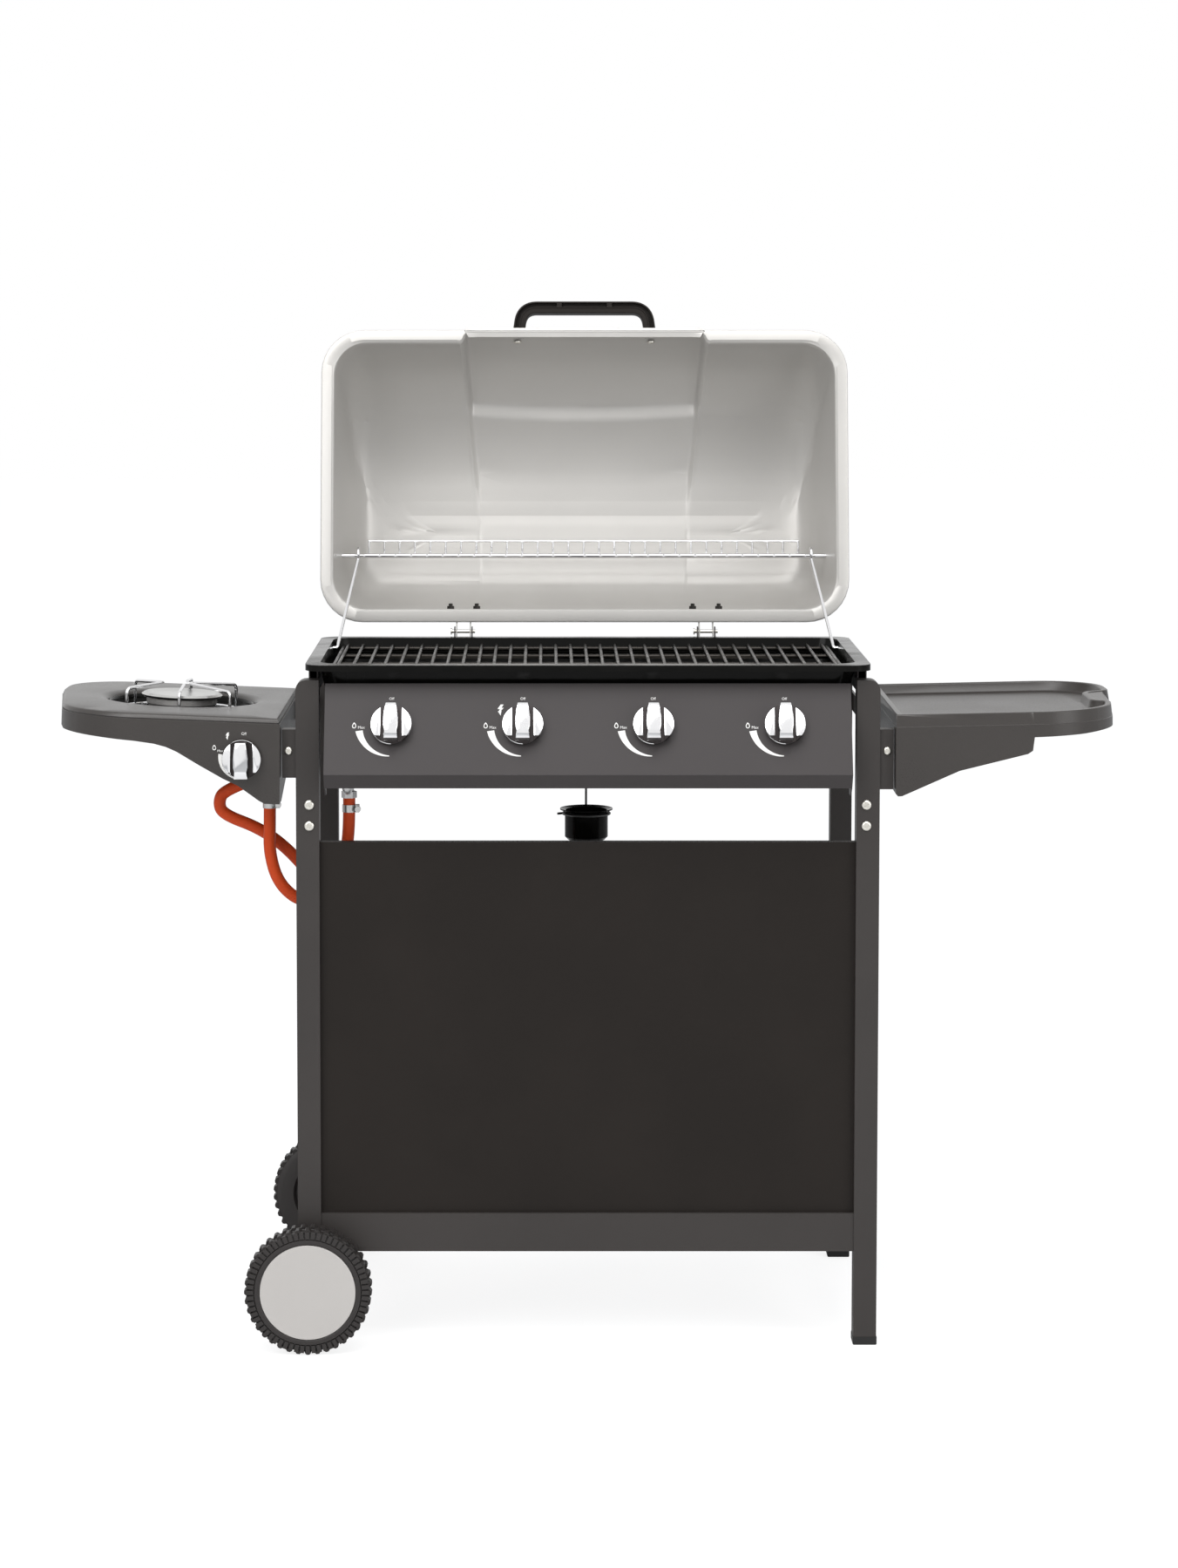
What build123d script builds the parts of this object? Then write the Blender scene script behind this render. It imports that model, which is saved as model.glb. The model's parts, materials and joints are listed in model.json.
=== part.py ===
"""A four burner gas barbecue on a two wheel trolley, with a side burner, a tray and a hinged lid.

Millimetres. +X is the right hand side of a person facing the grill, +Y is away from them, +Z is up.
The model is laid out from the front face of the front legs and moved at the end, so that its origin is
the middle of its footprint at floor level.
"""

from build123d import *
import math
import os

os.makedirs("parts", exist_ok=True)

# Trolley frame
LEG = 28.0
LEG_WALL = 1.5
LEG_OUTSIDE = 353.0
REAR_LEG_Y = 422.0
LEG_SEAM_Z = 620.0
LEG_TOP_Z = 817.0
NECK_TOP_Z = 684.0
FOOT_H = 10.0
SHORT_LEG_Z = 58.0
RAIL_LOW_Z = 116.0
RAIL_HIGH_Z = 163.0
PANEL_TOP_Z = 619.0
LEG_SCREW_X = 337.0
LEG_SCREW_HEIGHTS = (640.0, 665.6)

# Wheels
WHEEL_R = 77.0
WHEEL_W = 36.0
WHEEL_FRONT_Y = -46.0
REAR_WHEEL_Y = 460.0
AXLE_R = 6.0
WHEEL_X = -339.0
TREAD_BLOCKS = 40
TREAD_DEPTH = 2.6
HUB_DISC_R = 58.0

# Firebox
RIM_Z = 837.0
RIM_HALF_X = 341.0
RIM_FRONT_Y = -20.0
RIM_REAR_Y = 355.0
TUB_HALF_X = 325.5
TUB_FRONT_Y = 2.0
TUB_REAR_Y = 339.0
TUB_FLOOR_Z = 692.0
SHEET = 1.5
CUP_Y = 168.0

# Control panel, a sheet that leans back towards its top
PANEL_TOP = (0.5, 813.0)
PANEL_FOLD = (-46.5, 708.0)
PANEL_LIP = (-33.0, 690.0)
KNOB_X = (-236.5, -78.5, 78.5, 236.5)
KNOB_DOWN = 54.0
KNOB_R = 24.5
STEM_R = 4.0

# Lid, drawn closed on the rim and then swung open
HINGE_Y = 372.0
HINGE_Z = 842.0
LID_SWING = 100.0
LID_PLANE_Z = 839.0
LID_HALF_X = 345.0
LID_FRONT_Y = -25.0
LID_REAR_Y = 360.0
LID_FLANGE = 16.0
HINGE_X = 158.0

# Shelves
SHELF_INSIDE = 371.0
SHELF_SKIRT = 27.0
LEFT_SHELF_Z = 771.0
RIGHT_SHELF_Z = 776.0
LEFT_TILT = 2.3
RIGHT_TILT = 1.2
SIDE_BURNER = (-507.0, 180.0)

# Gas hose
HOSE_R = 7.5
HOSE_Y = 48.0
SUPPLY_Y = 74.0

# Pieces that belong to the hose and are left out when the footprint is measured
HOSE_NODES = ("hose_side", "hose_supply", "hose_clamps", "regulator")

NODES = {}


def keep(name, shape):
    """Store a finished piece under its node name."""
    NODES[name] = shape


def block(x0, x1, y0, y1, z0, z1):
    """A box between two corners."""
    return Pos((x0 + x1) / 2, (y0 + y1) / 2, (z0 + z1) / 2) * Box(x1 - x0, y1 - y0, z1 - z0)


def group(pieces):
    """Several separate solids that are written as one node."""
    return Compound(children=list(pieces))


def joined(pieces):
    """Fuse a list of touching solids."""
    whole = pieces[0]
    for piece in pieces[1:]:
        whole = whole + piece
    return whole


def rod(start, end, radius):
    """A round bar between two points."""
    first = Vector(*start)
    second = Vector(*end)
    along = second - first
    plane = Plane(origin=first, z_dir=along.normalized())
    return extrude(plane * Circle(radius), along.length)


def prism_yz(points, x0, x1):
    """A polygon given in (y, z), extruded along X."""
    face = make_face(Plane.YZ.offset(x0) * Polyline(*points, close=True))
    return extrude(face, x1 - x0, dir=(1, 0, 0))


def prism_xz(points, y0, y1):
    """A polygon given in (x, z), extruded along Y."""
    face = make_face(Plane.XZ.offset(-y1) * Polyline(*points, close=True))
    return extrude(face, y1 - y0, dir=(0, -1, 0))


def prism_xy(points, z0, z1):
    """A polygon given in (x, y), extruded along Z."""
    face = make_face(Plane.XY.offset(z0) * Polyline(*points, close=True))
    return extrude(face, z1 - z0, dir=(0, 0, 1))


def bent_wire(points, radius, bends):
    """A round wire along straight runs joined by tangent arcs."""
    path = FilletPolyline(*points, radius=bends)
    start = Plane(origin=path @ 0, z_dir=path % 0)
    return sweep(start * Circle(radius), path=path)


def rounded_plate(x0, x1, y0, y1, corner, z):
    """A rounded rectangle face at one height."""
    face = RectangleRounded(x1 - x0, y1 - y0, corner)
    return Plane(origin=((x0 + x1) / 2, (y0 + y1) / 2, z)) * face


def ring_plate(outer, inner, z0, z1):
    """The space between two rounded rectangles, each given as (x0, x1, y0, y1, corner)."""
    solid = extrude(rounded_plate(*outer, z0), z1 - z0)
    return solid - extrude(rounded_plate(*inner, z0 - 1), z1 - z0 + 2)


def pan_screw(foot, direction, head_r=6.0, head_h=2.8, shank=7.0, shank_r=2.4):
    """A pan head screw whose head stands on a surface point and faces a direction."""
    out = Vector(*direction).normalized()
    plane = Plane(origin=foot, z_dir=out)
    low = extrude(plane * Circle(head_r), head_h * 0.45)
    dome = loft([plane.offset(head_h * 0.45) * Circle(head_r), plane.offset(head_h) * Circle(head_r * 0.62)])
    return joined([low, dome, extrude(plane * Circle(shank_r), -shank)])


# Trolley -------------------------------------------------------------------------------------------


def lower_leg(side, y0, bottom):
    """A square tube with a narrower neck that goes up inside the upper leg."""
    x0, x1 = sorted((side * LEG_OUTSIDE, side * (LEG_OUTSIDE - LEG)))
    tube = block(x0, x1, y0, y0 + LEG, bottom, LEG_SEAM_Z)
    gap = LEG_WALL + 0.2
    neck = block(x0 + gap, x1 - gap, y0 + gap, y0 + LEG - gap, LEG_SEAM_Z - 20, NECK_TOP_Z)
    wall = gap + LEG_WALL
    bore = block(x0 + wall, x1 - wall, y0 + wall, y0 + LEG - wall, bottom - 1, NECK_TOP_Z + 1)
    leg = tube + neck - bore
    for height in LEG_SCREW_HEIGHTS:
        leg = leg - rod((side * LEG_SCREW_X, y0 - 5, height), (side * LEG_SCREW_X, y0 + 8, height), 2.6)
    if side < 0:
        leg = leg - rod((WHEEL_X, y0 - 5, WHEEL_R), (WHEEL_X, y0 + LEG + 5, WHEEL_R), AXLE_R + 0.15)
    return leg


def upper_leg(side, y0):
    """A square tube, closed at the top with a round outer shoulder."""
    x_out = side * LEG_OUTSIDE
    x_in = side * (LEG_OUTSIDE - LEG)
    shoulder = 12.0
    points = [(x_in, LEG_SEAM_Z), (x_out, LEG_SEAM_Z)]
    for step in range(7):
        turn = math.radians(90 * step / 6)
        across = LEG_OUTSIDE - shoulder * (1 - math.cos(turn))
        points.append((side * across, LEG_TOP_Z - shoulder + shoulder * math.sin(turn)))
    points.append((x_in, LEG_TOP_Z))
    leg = prism_xz(points, y0, y0 + LEG)
    x0, x1 = sorted((x_out, x_in))
    leg = leg - block(x0 + LEG_WALL, x1 - LEG_WALL, y0 + LEG_WALL, y0 + LEG - LEG_WALL, LEG_SEAM_Z - 1, 800)
    for height in LEG_SCREW_HEIGHTS:
        leg = leg - rod((side * LEG_SCREW_X, y0 - 5, height), (side * LEG_SCREW_X, y0 + 8, height), 2.6)
    return leg


def build_legs():
    """The four legs in two lengths each, the two foot caps and the screws that join them."""
    screws = []
    for row, y0 in (("front", 0.0), ("rear", REAR_LEG_Y)):
        for word, side in (("left", -1), ("right", 1)):
            bottom = SHORT_LEG_Z if side < 0 else FOOT_H
            keep(f"leg_{row}_{word}_lower", lower_leg(side, y0, bottom))
            keep(f"leg_{row}_{word}_upper", upper_leg(side, y0))
            for height in LEG_SCREW_HEIGHTS:
                screws.append(pan_screw((side * LEG_SCREW_X, y0, height), (0, -1, 0)))
    for side in (-1, 1):
        screws.append(pan_screw((side * 362, 4, 731), (0, -1, 0), head_r=5.0, shank=6.0))
    keep("frame_screws", group(screws))
    caps = []
    for y0 in (0.0, REAR_LEG_Y):
        x0 = LEG_OUTSIDE - LEG
        cap = block(x0 - 0.6, LEG_OUTSIDE + 0.6, y0 - 0.6, y0 + LEG + 0.6, 0, FOOT_H)
        plug = block(x0 + 3.6, LEG_OUTSIDE - 3.6, y0 + 3.6, y0 + LEG - 3.6, FOOT_H - 1, FOOT_H + 18)
        caps.append(chamfer(cap.edges().group_by(Axis.Z)[0], 1.2) + plug)
    keep("foot_caps", group(caps))


def box_rail(x0, x1, y0, y1, z0, z1, along):
    """A thin walled box rail, open at its two ends."""
    wall = 1.5
    rail = block(x0, x1, y0, y1, z0, z1)
    if along == "x":
        return rail - block(x0 - 1, x1 + 1, y0 + wall, y1 - wall, z0 + wall, z1 - wall)
    return rail - block(x0 + wall, x1 - wall, y0 - 1, y1 + 1, z0 + wall, z1 - wall)


def build_rails():
    """The lower frame, the two firebox bearers and the front panel."""
    inside = LEG_OUTSIDE - LEG
    long_rails = []
    for y0 in (2.0, REAR_LEG_Y + 2):
        long_rails.append(box_rail(-inside, inside, y0, y0 + 24, RAIL_LOW_Z, RAIL_HIGH_Z, "x"))
    keep("rails_lower_long", group(long_rails))
    side_rails = []
    bearers = []
    for side in (-1, 1):
        x0, x1 = sorted((side * (inside + 2), side * (LEG_OUTSIDE - 2)))
        side_rails.append(box_rail(x0, x1, LEG + 0.2, REAR_LEG_Y - 0.2, RAIL_LOW_Z, RAIL_HIGH_Z, "y"))
        x0, x1 = sorted((side * (inside + 2.2), side * (inside + 13.5)))
        bearer = box_rail(x0, x1, LEG + 0.2, REAR_LEG_Y - 0.2, 800, RIM_Z - 7.7, "y")
        for near in (32.0, 305.0):
            bearer = bearer + block(x0 + 1, x1 - 1, near, near + 30, RIM_Z - 8.5, RIM_Z - SHEET)
        bearers.append(bearer)
    keep("rails_lower_side", group(side_rails))
    keep("firebox_bearers", group(bearers))
    sheet = block(-inside, inside, 8, 11, RAIL_HIGH_Z, PANEL_TOP_Z)
    fold = block(-inside, inside, 11, 22, PANEL_TOP_Z - 1.5, PANEL_TOP_Z)
    keep("panel_front", sheet + fold)


def toothed_disc(y0, y1, clock):
    """A disc with square tread blocks round its edge."""
    points = []
    pitch = 360.0 / TREAD_BLOCKS
    for block_index in range(TREAD_BLOCKS):
        middle = -90.0 + clock + block_index * pitch
        for offset, radius in ((-0.31, -TREAD_DEPTH), (-0.27, 0), (0.27, 0), (0.31, -TREAD_DEPTH)):
            turn = math.radians(middle + offset * pitch)
            reach = (WHEEL_R + radius) / math.cos(math.radians(0.27 * pitch))
            points.append((WHEEL_X + reach * math.cos(turn), WHEEL_R + reach * math.sin(turn)))
    return prism_xz(points, y0, y1)


def wheel_at(front, facing):
    """A moulded wheel with a round recess for its hub disc. Facing is -1 for the front wheel."""
    y0, y1 = front, front + WHEEL_W
    half = WHEEL_W / 2
    wheel = joined([
        toothed_disc(y0 + 3, y0 + half - 1.5, 0.0),
        toothed_disc(y0 + half + 1.5, y1 - 3, 0.0),
        rod((WHEEL_X, y0, WHEEL_R), (WHEEL_X, y1, WHEEL_R), WHEEL_R - TREAD_DEPTH - 0.6),
    ])
    outer = y0 if facing < 0 else y1
    inner = y1 if facing < 0 else y0
    boss = rod((WHEEL_X, inner, WHEEL_R), (WHEEL_X, inner - facing * 9, WHEEL_R), 14)
    recess = rod((WHEEL_X, outer + facing, WHEEL_R), (WHEEL_X, outer - facing * 3, WHEEL_R), HUB_DISC_R + 0.3)
    pocket = rod((WHEEL_X, outer, WHEEL_R), (WHEEL_X, outer - facing * 12, WHEEL_R), 15)
    bore = rod((WHEEL_X, y0 - 20, WHEEL_R), (WHEEL_X, y1 + 20, WHEEL_R), AXLE_R + 0.08)
    disc = rod((WHEEL_X, outer, WHEEL_R), (WHEEL_X, outer - facing * 3, WHEEL_R), HUB_DISC_R)
    disc = fillet(disc.edges().group_by(Axis.Y)[0 if facing < 0 else -1], 0.8)
    return (wheel + boss) - recess - pocket - bore, disc


def build_wheels():
    """Two wheels on one axle that runs from the front to the back on the left."""
    tyre, disc = wheel_at(WHEEL_FRONT_Y, -1)
    keep("wheel_front", tyre)
    keep("hub_disc_front", disc)
    tyre, disc = wheel_at(REAR_WHEEL_Y, 1)
    keep("wheel_rear", tyre)
    keep("hub_disc_rear", disc)
    first = WHEEL_FRONT_Y + 4.5
    last = REAR_WHEEL_Y + WHEEL_W - 4.5
    keep("axle", rod((WHEEL_X, first, WHEEL_R), (WHEEL_X, last, WHEEL_R), AXLE_R))
    clips = []
    for near, far in ((first + 1.5, first + 4.0), (last - 4.0, last - 1.5)):
        clip = rod((WHEEL_X, near, WHEEL_R), (WHEEL_X, far, WHEEL_R), 11)
        clips.append(clip - rod((WHEEL_X, near - 1, WHEEL_R), (WHEEL_X, far + 1, WHEEL_R), AXLE_R + 0.1))
    keep("axle_clips", group(clips))


# Firebox -------------------------------------------------------------------------------------------


def tub_form(inset):
    """The tapered form of the firebox tub, drawn in by an inset."""
    top = rounded_plate(-TUB_HALF_X + inset, TUB_HALF_X - inset, TUB_FRONT_Y + inset, TUB_REAR_Y - inset,
                        26 - inset, RIM_Z)
    low = rounded_plate(-298 + inset, 298 - inset, 42 + inset, 300 - inset, 26 - inset, TUB_FLOOR_Z + inset)
    return loft([low, top])


def build_firebox():
    """The pressed tub with its turned down rim, burner holes, drain hole and grate ledges."""
    tub = tub_form(0) - tub_form(SHEET)
    hollow = (-TUB_HALF_X + SHEET, TUB_HALF_X - SHEET, TUB_FRONT_Y + SHEET, TUB_REAR_Y - SHEET, 24.5)
    outline = (-RIM_HALF_X, RIM_HALF_X, RIM_FRONT_Y, RIM_REAR_Y, 24.0)
    inner = (-RIM_HALF_X + SHEET, RIM_HALF_X - SHEET, RIM_FRONT_Y + SHEET, RIM_REAR_Y - SHEET, 22.5)
    tub = tub + ring_plate(outline, hollow, RIM_Z - SHEET, RIM_Z)
    tub = tub + ring_plate(outline, inner, RIM_Z - 7.5, RIM_Z)
    ledge_front = block(-296, 296, TUB_FRONT_Y + 3, 20, 819, 821)
    ledge_rear = block(-296, 296, 321, TUB_REAR_Y - 3, 819, 821)
    tub = tub + (ledge_front & tub_form(0.5)) + (ledge_rear & tub_form(0.5))
    for x in KNOB_X:
        tub = tub - rod((x, 0, 760), (x, 40, 760), 13.0)
    tub = tub - rod((0, CUP_Y, TUB_FLOOR_Z - 5), (0, CUP_Y, TUB_FLOOR_Z + 5), 9)
    for side in (-1, 1):
        tub = tub - rod((side * 318, LEG_FOOT[0], LEG_FOOT[1]), (side * 330, LEG_FOOT[0], LEG_FOOT[1]), 2.08)
    keep("firebox", tub)


def build_grate():
    """The cooking grate: cross wires on top of long bars with two end frames."""
    half_x = 311.0
    front, rear = 14.0, 327.0
    bars = []
    for y in (17.5, 119.0, 220.5, 323.5):
        bars.append(rod((-half_x, y, 824.2), (half_x, y, 824.2), 2.9))
    count = 33
    for index in range(count):
        x = -half_x + 6 + index * (2 * half_x - 12) / (count - 1)
        bars.append(rod((x, front, 828.6), (x, rear, 828.6), 2.0))
    for side in (-1, 1):
        bars.append(rod((side * half_x, front, 826), (side * half_x, rear, 826), 2.6))
    keep("cooking_grate", joined(bars))


def build_burners():
    """Four tube burners and two folded heat plates that stand over them."""
    tubes = []
    for x in KNOB_X:
        tube = rod((x, 14, 760), (x, 280, 760), 12.5) - rod((x, 13, 760), (x, 277, 760), 11)
        for side in (-1, 1):
            tubes_y = [60 + 18 * step for step in range(11)]
            for y in tubes_y:
                tube = tube - rod((x + side * 5, y, 764), (x + side * 22, y, 770), 1.2)
        foot = block(x - 8, x + 8, 262, 272, TUB_FLOOR_Z + SHEET + 0.2, 748.6)
        tubes.append(tube + foot)
    keep("burner_tubes", group(tubes))
    plates = []
    for x in (-157.5, 157.5):
        outline = [(x - 120, 778), (x - 79, 800), (x, 782), (x + 79, 800), (x + 120, 778)]
        under = [(px, pz - 1.2) for px, pz in reversed(outline)]
        plate = prism_xz(outline + under, 40, 290)
        legs = [block(x - 1, x + 1, y, y + 12, TUB_FLOOR_Z + SHEET + 0.2, 781.6) for y in (70, 240)]
        plates.append(joined([plate] + legs))
    keep("heat_plates", group(plates))


def panel_frame():
    """Unit vectors up the control panel and out of it, as (y, z)."""
    rise = (PANEL_TOP[0] - PANEL_FOLD[0], PANEL_TOP[1] - PANEL_FOLD[1])
    size = math.hypot(*rise)
    up = (rise[0] / size, rise[1] / size)
    return up, (-up[1], up[0])


def knob_foot(x):
    """The point on the face of the control panel under one knob."""
    up, _ = panel_frame()
    return (x, PANEL_TOP[0] - up[0] * KNOB_DOWN, PANEL_TOP[1] - up[1] * KNOB_DOWN)


def build_control_panel():
    """A folded sheet with two end cheeks and a hole for each valve stem."""
    up, out = panel_frame()
    line = [PANEL_TOP, PANEL_FOLD, PANEL_LIP]
    back = [(PANEL_LIP[0] + SHEET, PANEL_LIP[1] + 0.9), (PANEL_FOLD[0] + SHEET * 1.25, PANEL_FOLD[1] + 0.4),
            (PANEL_TOP[0] + SHEET * 1.1, PANEL_TOP[1])]
    panel = prism_yz(line + back, -317, 317)
    cheek = [PANEL_TOP, PANEL_FOLD, PANEL_LIP, (-20, 680), (-4, 680), (-1.5, 700), (PANEL_TOP[0] + 1, 800)]
    for side in (-1, 1):
        x0, x1 = sorted((side * 315.5, side * 317))
        panel = panel + prism_yz(cheek, x0, x1)
    for x in KNOB_X:
        foot = Vector(*knob_foot(x))
        axis = Vector(0, out[0], out[1])
        panel = panel - rod(tuple(foot - axis * 10), tuple(foot + axis * 10), 5.2)
    keep("control_panel", panel)


def knob_solid(foot, axis):
    """A round knob with a raised grip bar and a blind bore for its stem. Foot is the panel point."""
    plane = Plane(origin=foot, x_dir=(1, 0, 0), z_dir=axis)
    base = extrude(plane.offset(5.0) * Circle(KNOB_R), 7.0)
    shoulder = loft([plane.offset(12.0) * Circle(KNOB_R), plane.offset(16.0) * Circle(KNOB_R - 3.0)])
    bar = extrude(plane.offset(10.0) * RectangleRounded(18.5, 44.0, 8.5), 19.0)
    bar = fillet(bar.edges().group_by(Axis(foot, tuple(axis)))[-1], 3.0)
    return joined([base, shoulder, bar]) - extrude(plane.offset(4.0) * Circle(STEM_R + 0.06), 14.0)


def stem_solid(foot, axis):
    """The round stem that the knob turns on and that slides in the valve."""
    plane = Plane(origin=foot, x_dir=(1, 0, 0), z_dir=axis)
    return extrude(plane.offset(-19.0) * Circle(STEM_R), 36.5)


def build_gas_train():
    """The manifold with its inlet elbow, the four valves and the four knobs."""
    up, out = panel_frame()
    axis = Vector(0, out[0], out[1])
    valves = []
    for index, x in enumerate(KNOB_X):
        foot = Vector(*knob_foot(x))
        body = block(x - 11, x + 11, -12, 10, 741, 772)
        collar = rod(tuple(foot - axis * 22), tuple(foot - axis * 5), 8.5)
        bore = rod(tuple(foot - axis * 24), tuple(foot), STEM_R + 0.08)
        nozzle = rod((x, 10, 760), (x, 24, 760), 4.0)
        valves.append(joined([body, collar, nozzle]) - bore)
        keep(f"knob_{index + 1}", knob_solid(tuple(foot), axis))
        keep(f"valve_stem_{index + 1}", stem_solid(tuple(foot), axis))
    keep("valves_main", group(valves))
    pipe = rod((-306, -1, 733), (262, -1, 733), 8.0)
    riser = bent_wire([(-291, -1, 733), (-291, -1, 683), (-291, HOSE_Y, 683), (-291, HOSE_Y, 668)], 6.0, [8, 8])
    nut = extrude(Plane(origin=(-291, HOSE_Y, 668)) * RegularPolygon(9.5, 6), 8)
    keep("manifold", joined([pipe, riser, nut]))


# Lid -----------------------------------------------------------------------------------------------

# Height above the lid plane, front edge, rear edge, half width and corner radius of the dome.
DOME = (
    (0.0, -9.0, 344.0, 329.0, 44.0),
    (35.0, -4.0, 342.0, 327.5, 44.0),
    (85.0, 12.0, 338.0, 323.0, 44.0),
    (125.0, 42.0, 330.0, 317.0, 43.0),
    (155.0, 84.0, 316.0, 308.0, 40.0),
    (175.0, 132.0, 296.0, 295.0, 36.0),
    (184.0, 176.0, 274.0, 278.0, 32.0),
    (189.0, 184.0, 266.0, 168.0, 24.0),
)


def hinge_turn(shape):
    """Swing a piece of the closed lid to the open pose that the model is drawn in."""
    return shape.rotate(Axis((0, HINGE_Y, HINGE_Z), (1, 0, 0)), -LID_SWING)


def dome_form(grow, foot=0.0):
    """The outer form of the dome, grown outwards by an amount and started a little below its plane."""
    faces = []
    for index, (height, front, rear, half, corner) in enumerate(DOME):
        z = LID_PLANE_Z + height
        if index == 0:
            z = z - foot
        if index == len(DOME) - 1:
            z = z + grow
        faces.append(rounded_plate(-half - grow, half + grow, front - grow, rear + grow, corner + grow, z))
    return loft(faces, ruled=True)


def build_lid():
    """The pressed lid with its flange and rolled edge, its handle and their screws."""
    outer = dome_form(0) + extrude(rounded_plate(-LID_HALF_X, LID_HALF_X, LID_FRONT_Y, LID_REAR_Y, 56.0,
                                                  LID_PLANE_Z), SHEET)
    flange_outside = (-LID_HALF_X, LID_HALF_X, LID_FRONT_Y, LID_REAR_Y, 56.0)
    bead = (-LID_HALF_X + SHEET, LID_HALF_X - SHEET, LID_FRONT_Y + SHEET, LID_REAR_Y - SHEET, 56 - SHEET)
    outer = outer + ring_plate(flange_outside, bead, LID_PLANE_Z, LID_PLANE_Z + 5.0)
    shell = outer - dome_form(-SHEET, foot=2.0)
    holes = []
    for x in (-88, 88):
        holes.append(rod((x, -40, LID_PLANE_Z + 32), (x, 20, LID_PLANE_Z + 32), 3.0))
    for side in (-1, 1):
        holes.append(rod((side * 300, RACK_ON_LID[0], RACK_ON_LID[1]),
                         (side * 345, RACK_ON_LID[0], RACK_ON_LID[1]), 3.2))
    for x in HINGE_BOLTS:
        holes.append(rod((x, 330, LID_PLANE_Z + 16), (x, 380, LID_PLANE_Z + 16), 3.0))
    for hole in holes:
        shell = shell - hole
    keep("lid_shell", hinge_turn(shell))
    z0 = LID_PLANE_Z + 20
    z1 = LID_PLANE_Z + 43
    outline = Plane.XY.offset(z0) * Polyline((-95.5, -4), (-90, -66), (90, -66), (95.5, -4), (80, -4), (74, -50.5),
                                              (-74, -50.5), (-80, -4), close=True)
    face = make_face(outline)
    face = fillet([v for v in face.vertices() if abs(v.Y + 66) < 0.1], 46)
    face = fillet([v for v in face.vertices() if abs(v.Y + 50.5) < 0.1], 32)
    handle = extrude(face, z1 - z0)
    handle = handle - dome_form(0.2)
    for x in (-88, 88):
        handle = handle - rod((x, -40, LID_PLANE_Z + 32), (x, 20, LID_PLANE_Z + 32), 2.6)
    keep("lid_handle", hinge_turn(handle))
    screws = []
    for x in (-88, 88):
        screws.append(pan_screw((x, -2.2, LID_PLANE_Z + 32), (0, 1, 0), head_r=4.6, shank=16.0))
    for x in HINGE_BOLTS:
        screws.append(pan_screw((x, 341.0, LID_PLANE_Z + 16), (0, -1, 0), head_r=4.6, head_h=4.0, shank=4.0))
    keep("lid_screws", hinge_turn(group(screws)))


HINGE_BOLTS = (-HINGE_X - 17, -HINGE_X + 17, HINGE_X - 17, HINGE_X + 17)


def build_hinges():
    """Two pin hinges: a fork on the firebox, an arm on the lid and a pin through both."""
    bases, arms, pins = [], [], []
    for middle in (-HINGE_X, HINGE_X):
        for side in (-1, 1):
            x0, x1 = sorted((middle + side * 10.5, middle + side * 12.0))
            outline = [(355.2, 812), (355.2, 831), (361, 837.5), (367, 848), (378, 848), (380, 838), (366, 812)]
            ear = prism_yz(outline, x0, x1)
            bases.append(ear)
        foot = block(middle - 12, middle + 12, 355.2, 357.0, 812, 829)
        bases.append(foot)
        bases[-3:] = [joined(bases[-3:])]
        arm_parts = [block(middle - 24, middle + 24, 345.7, 347.4, LID_PLANE_Z + 7, LID_PLANE_Z + 26)]
        for side in (-1, 1):
            x0, x1 = sorted((middle + side * 8.2, middle + side * 9.7))
            arm_parts.append(prism_yz([(346, LID_PLANE_Z + 7), (346, LID_PLANE_Z + 26), (352, LID_PLANE_Z + 26),
                                       (378, 848), (378, 837.5), (362.5, 837.5), (362.5, 846.5)], x0, x1))
        arms.append(joined(arm_parts))
        pins.append(rod((middle - 15, HINGE_Y, HINGE_Z), (middle + 15, HINGE_Y, HINGE_Z), 2.5)
                    + rod((middle - 16.5, HINGE_Y, HINGE_Z), (middle - 15, HINGE_Y, HINGE_Z), 4.2))
    cut = [rod((x - 30, HINGE_Y, HINGE_Z), (x + 30, HINGE_Y, HINGE_Z), 2.5) for x in (-HINGE_X, HINGE_X)]
    wide = [rod((x - 30, HINGE_Y, HINGE_Z), (x + 30, HINGE_Y, HINGE_Z), 2.58) for x in (-HINGE_X, HINGE_X)]
    keep("hinge_bases", group([base - cut[index] for index, base in enumerate(bases)]))
    cleared = []
    for index, arm in enumerate(arms):
        arm = arm - wide[index]
        for x in HINGE_BOLTS:
            arm = arm - rod((x, 330, LID_PLANE_Z + 16), (x, 360, LID_PLANE_Z + 16), 2.6)
        cleared.append(arm)
    keep("hinge_arms", hinge_turn(group(cleared)))
    keep("hinge_pins", group(pins))


# Warming rack --------------------------------------------------------------------------------------

# Rack pivot in the closed lid and the pivots of the open pose, all as (y, z).
RACK_REAR = (477.0, 933.0)
RACK_FRONT = (385.0, 940.0)
LEG_FOOT = (283.7, 829.0)
# The eye of each swing leg is loose on the rack: its middle lies this far past the rack's stub.
EYE_LEAD = 2.7


def closed_point(point):
    """Where a point fixed to the lid lies when the lid is closed, as (y, z)."""
    turn = math.radians(LID_SWING)
    dy, dz = point[0] - HINGE_Y, point[1] - HINGE_Z
    return (HINGE_Y + dy * math.cos(turn) - dz * math.sin(turn),
            HINGE_Z + dy * math.sin(turn) + dz * math.cos(turn))


RACK_ON_LID = closed_point(RACK_REAR)


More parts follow.
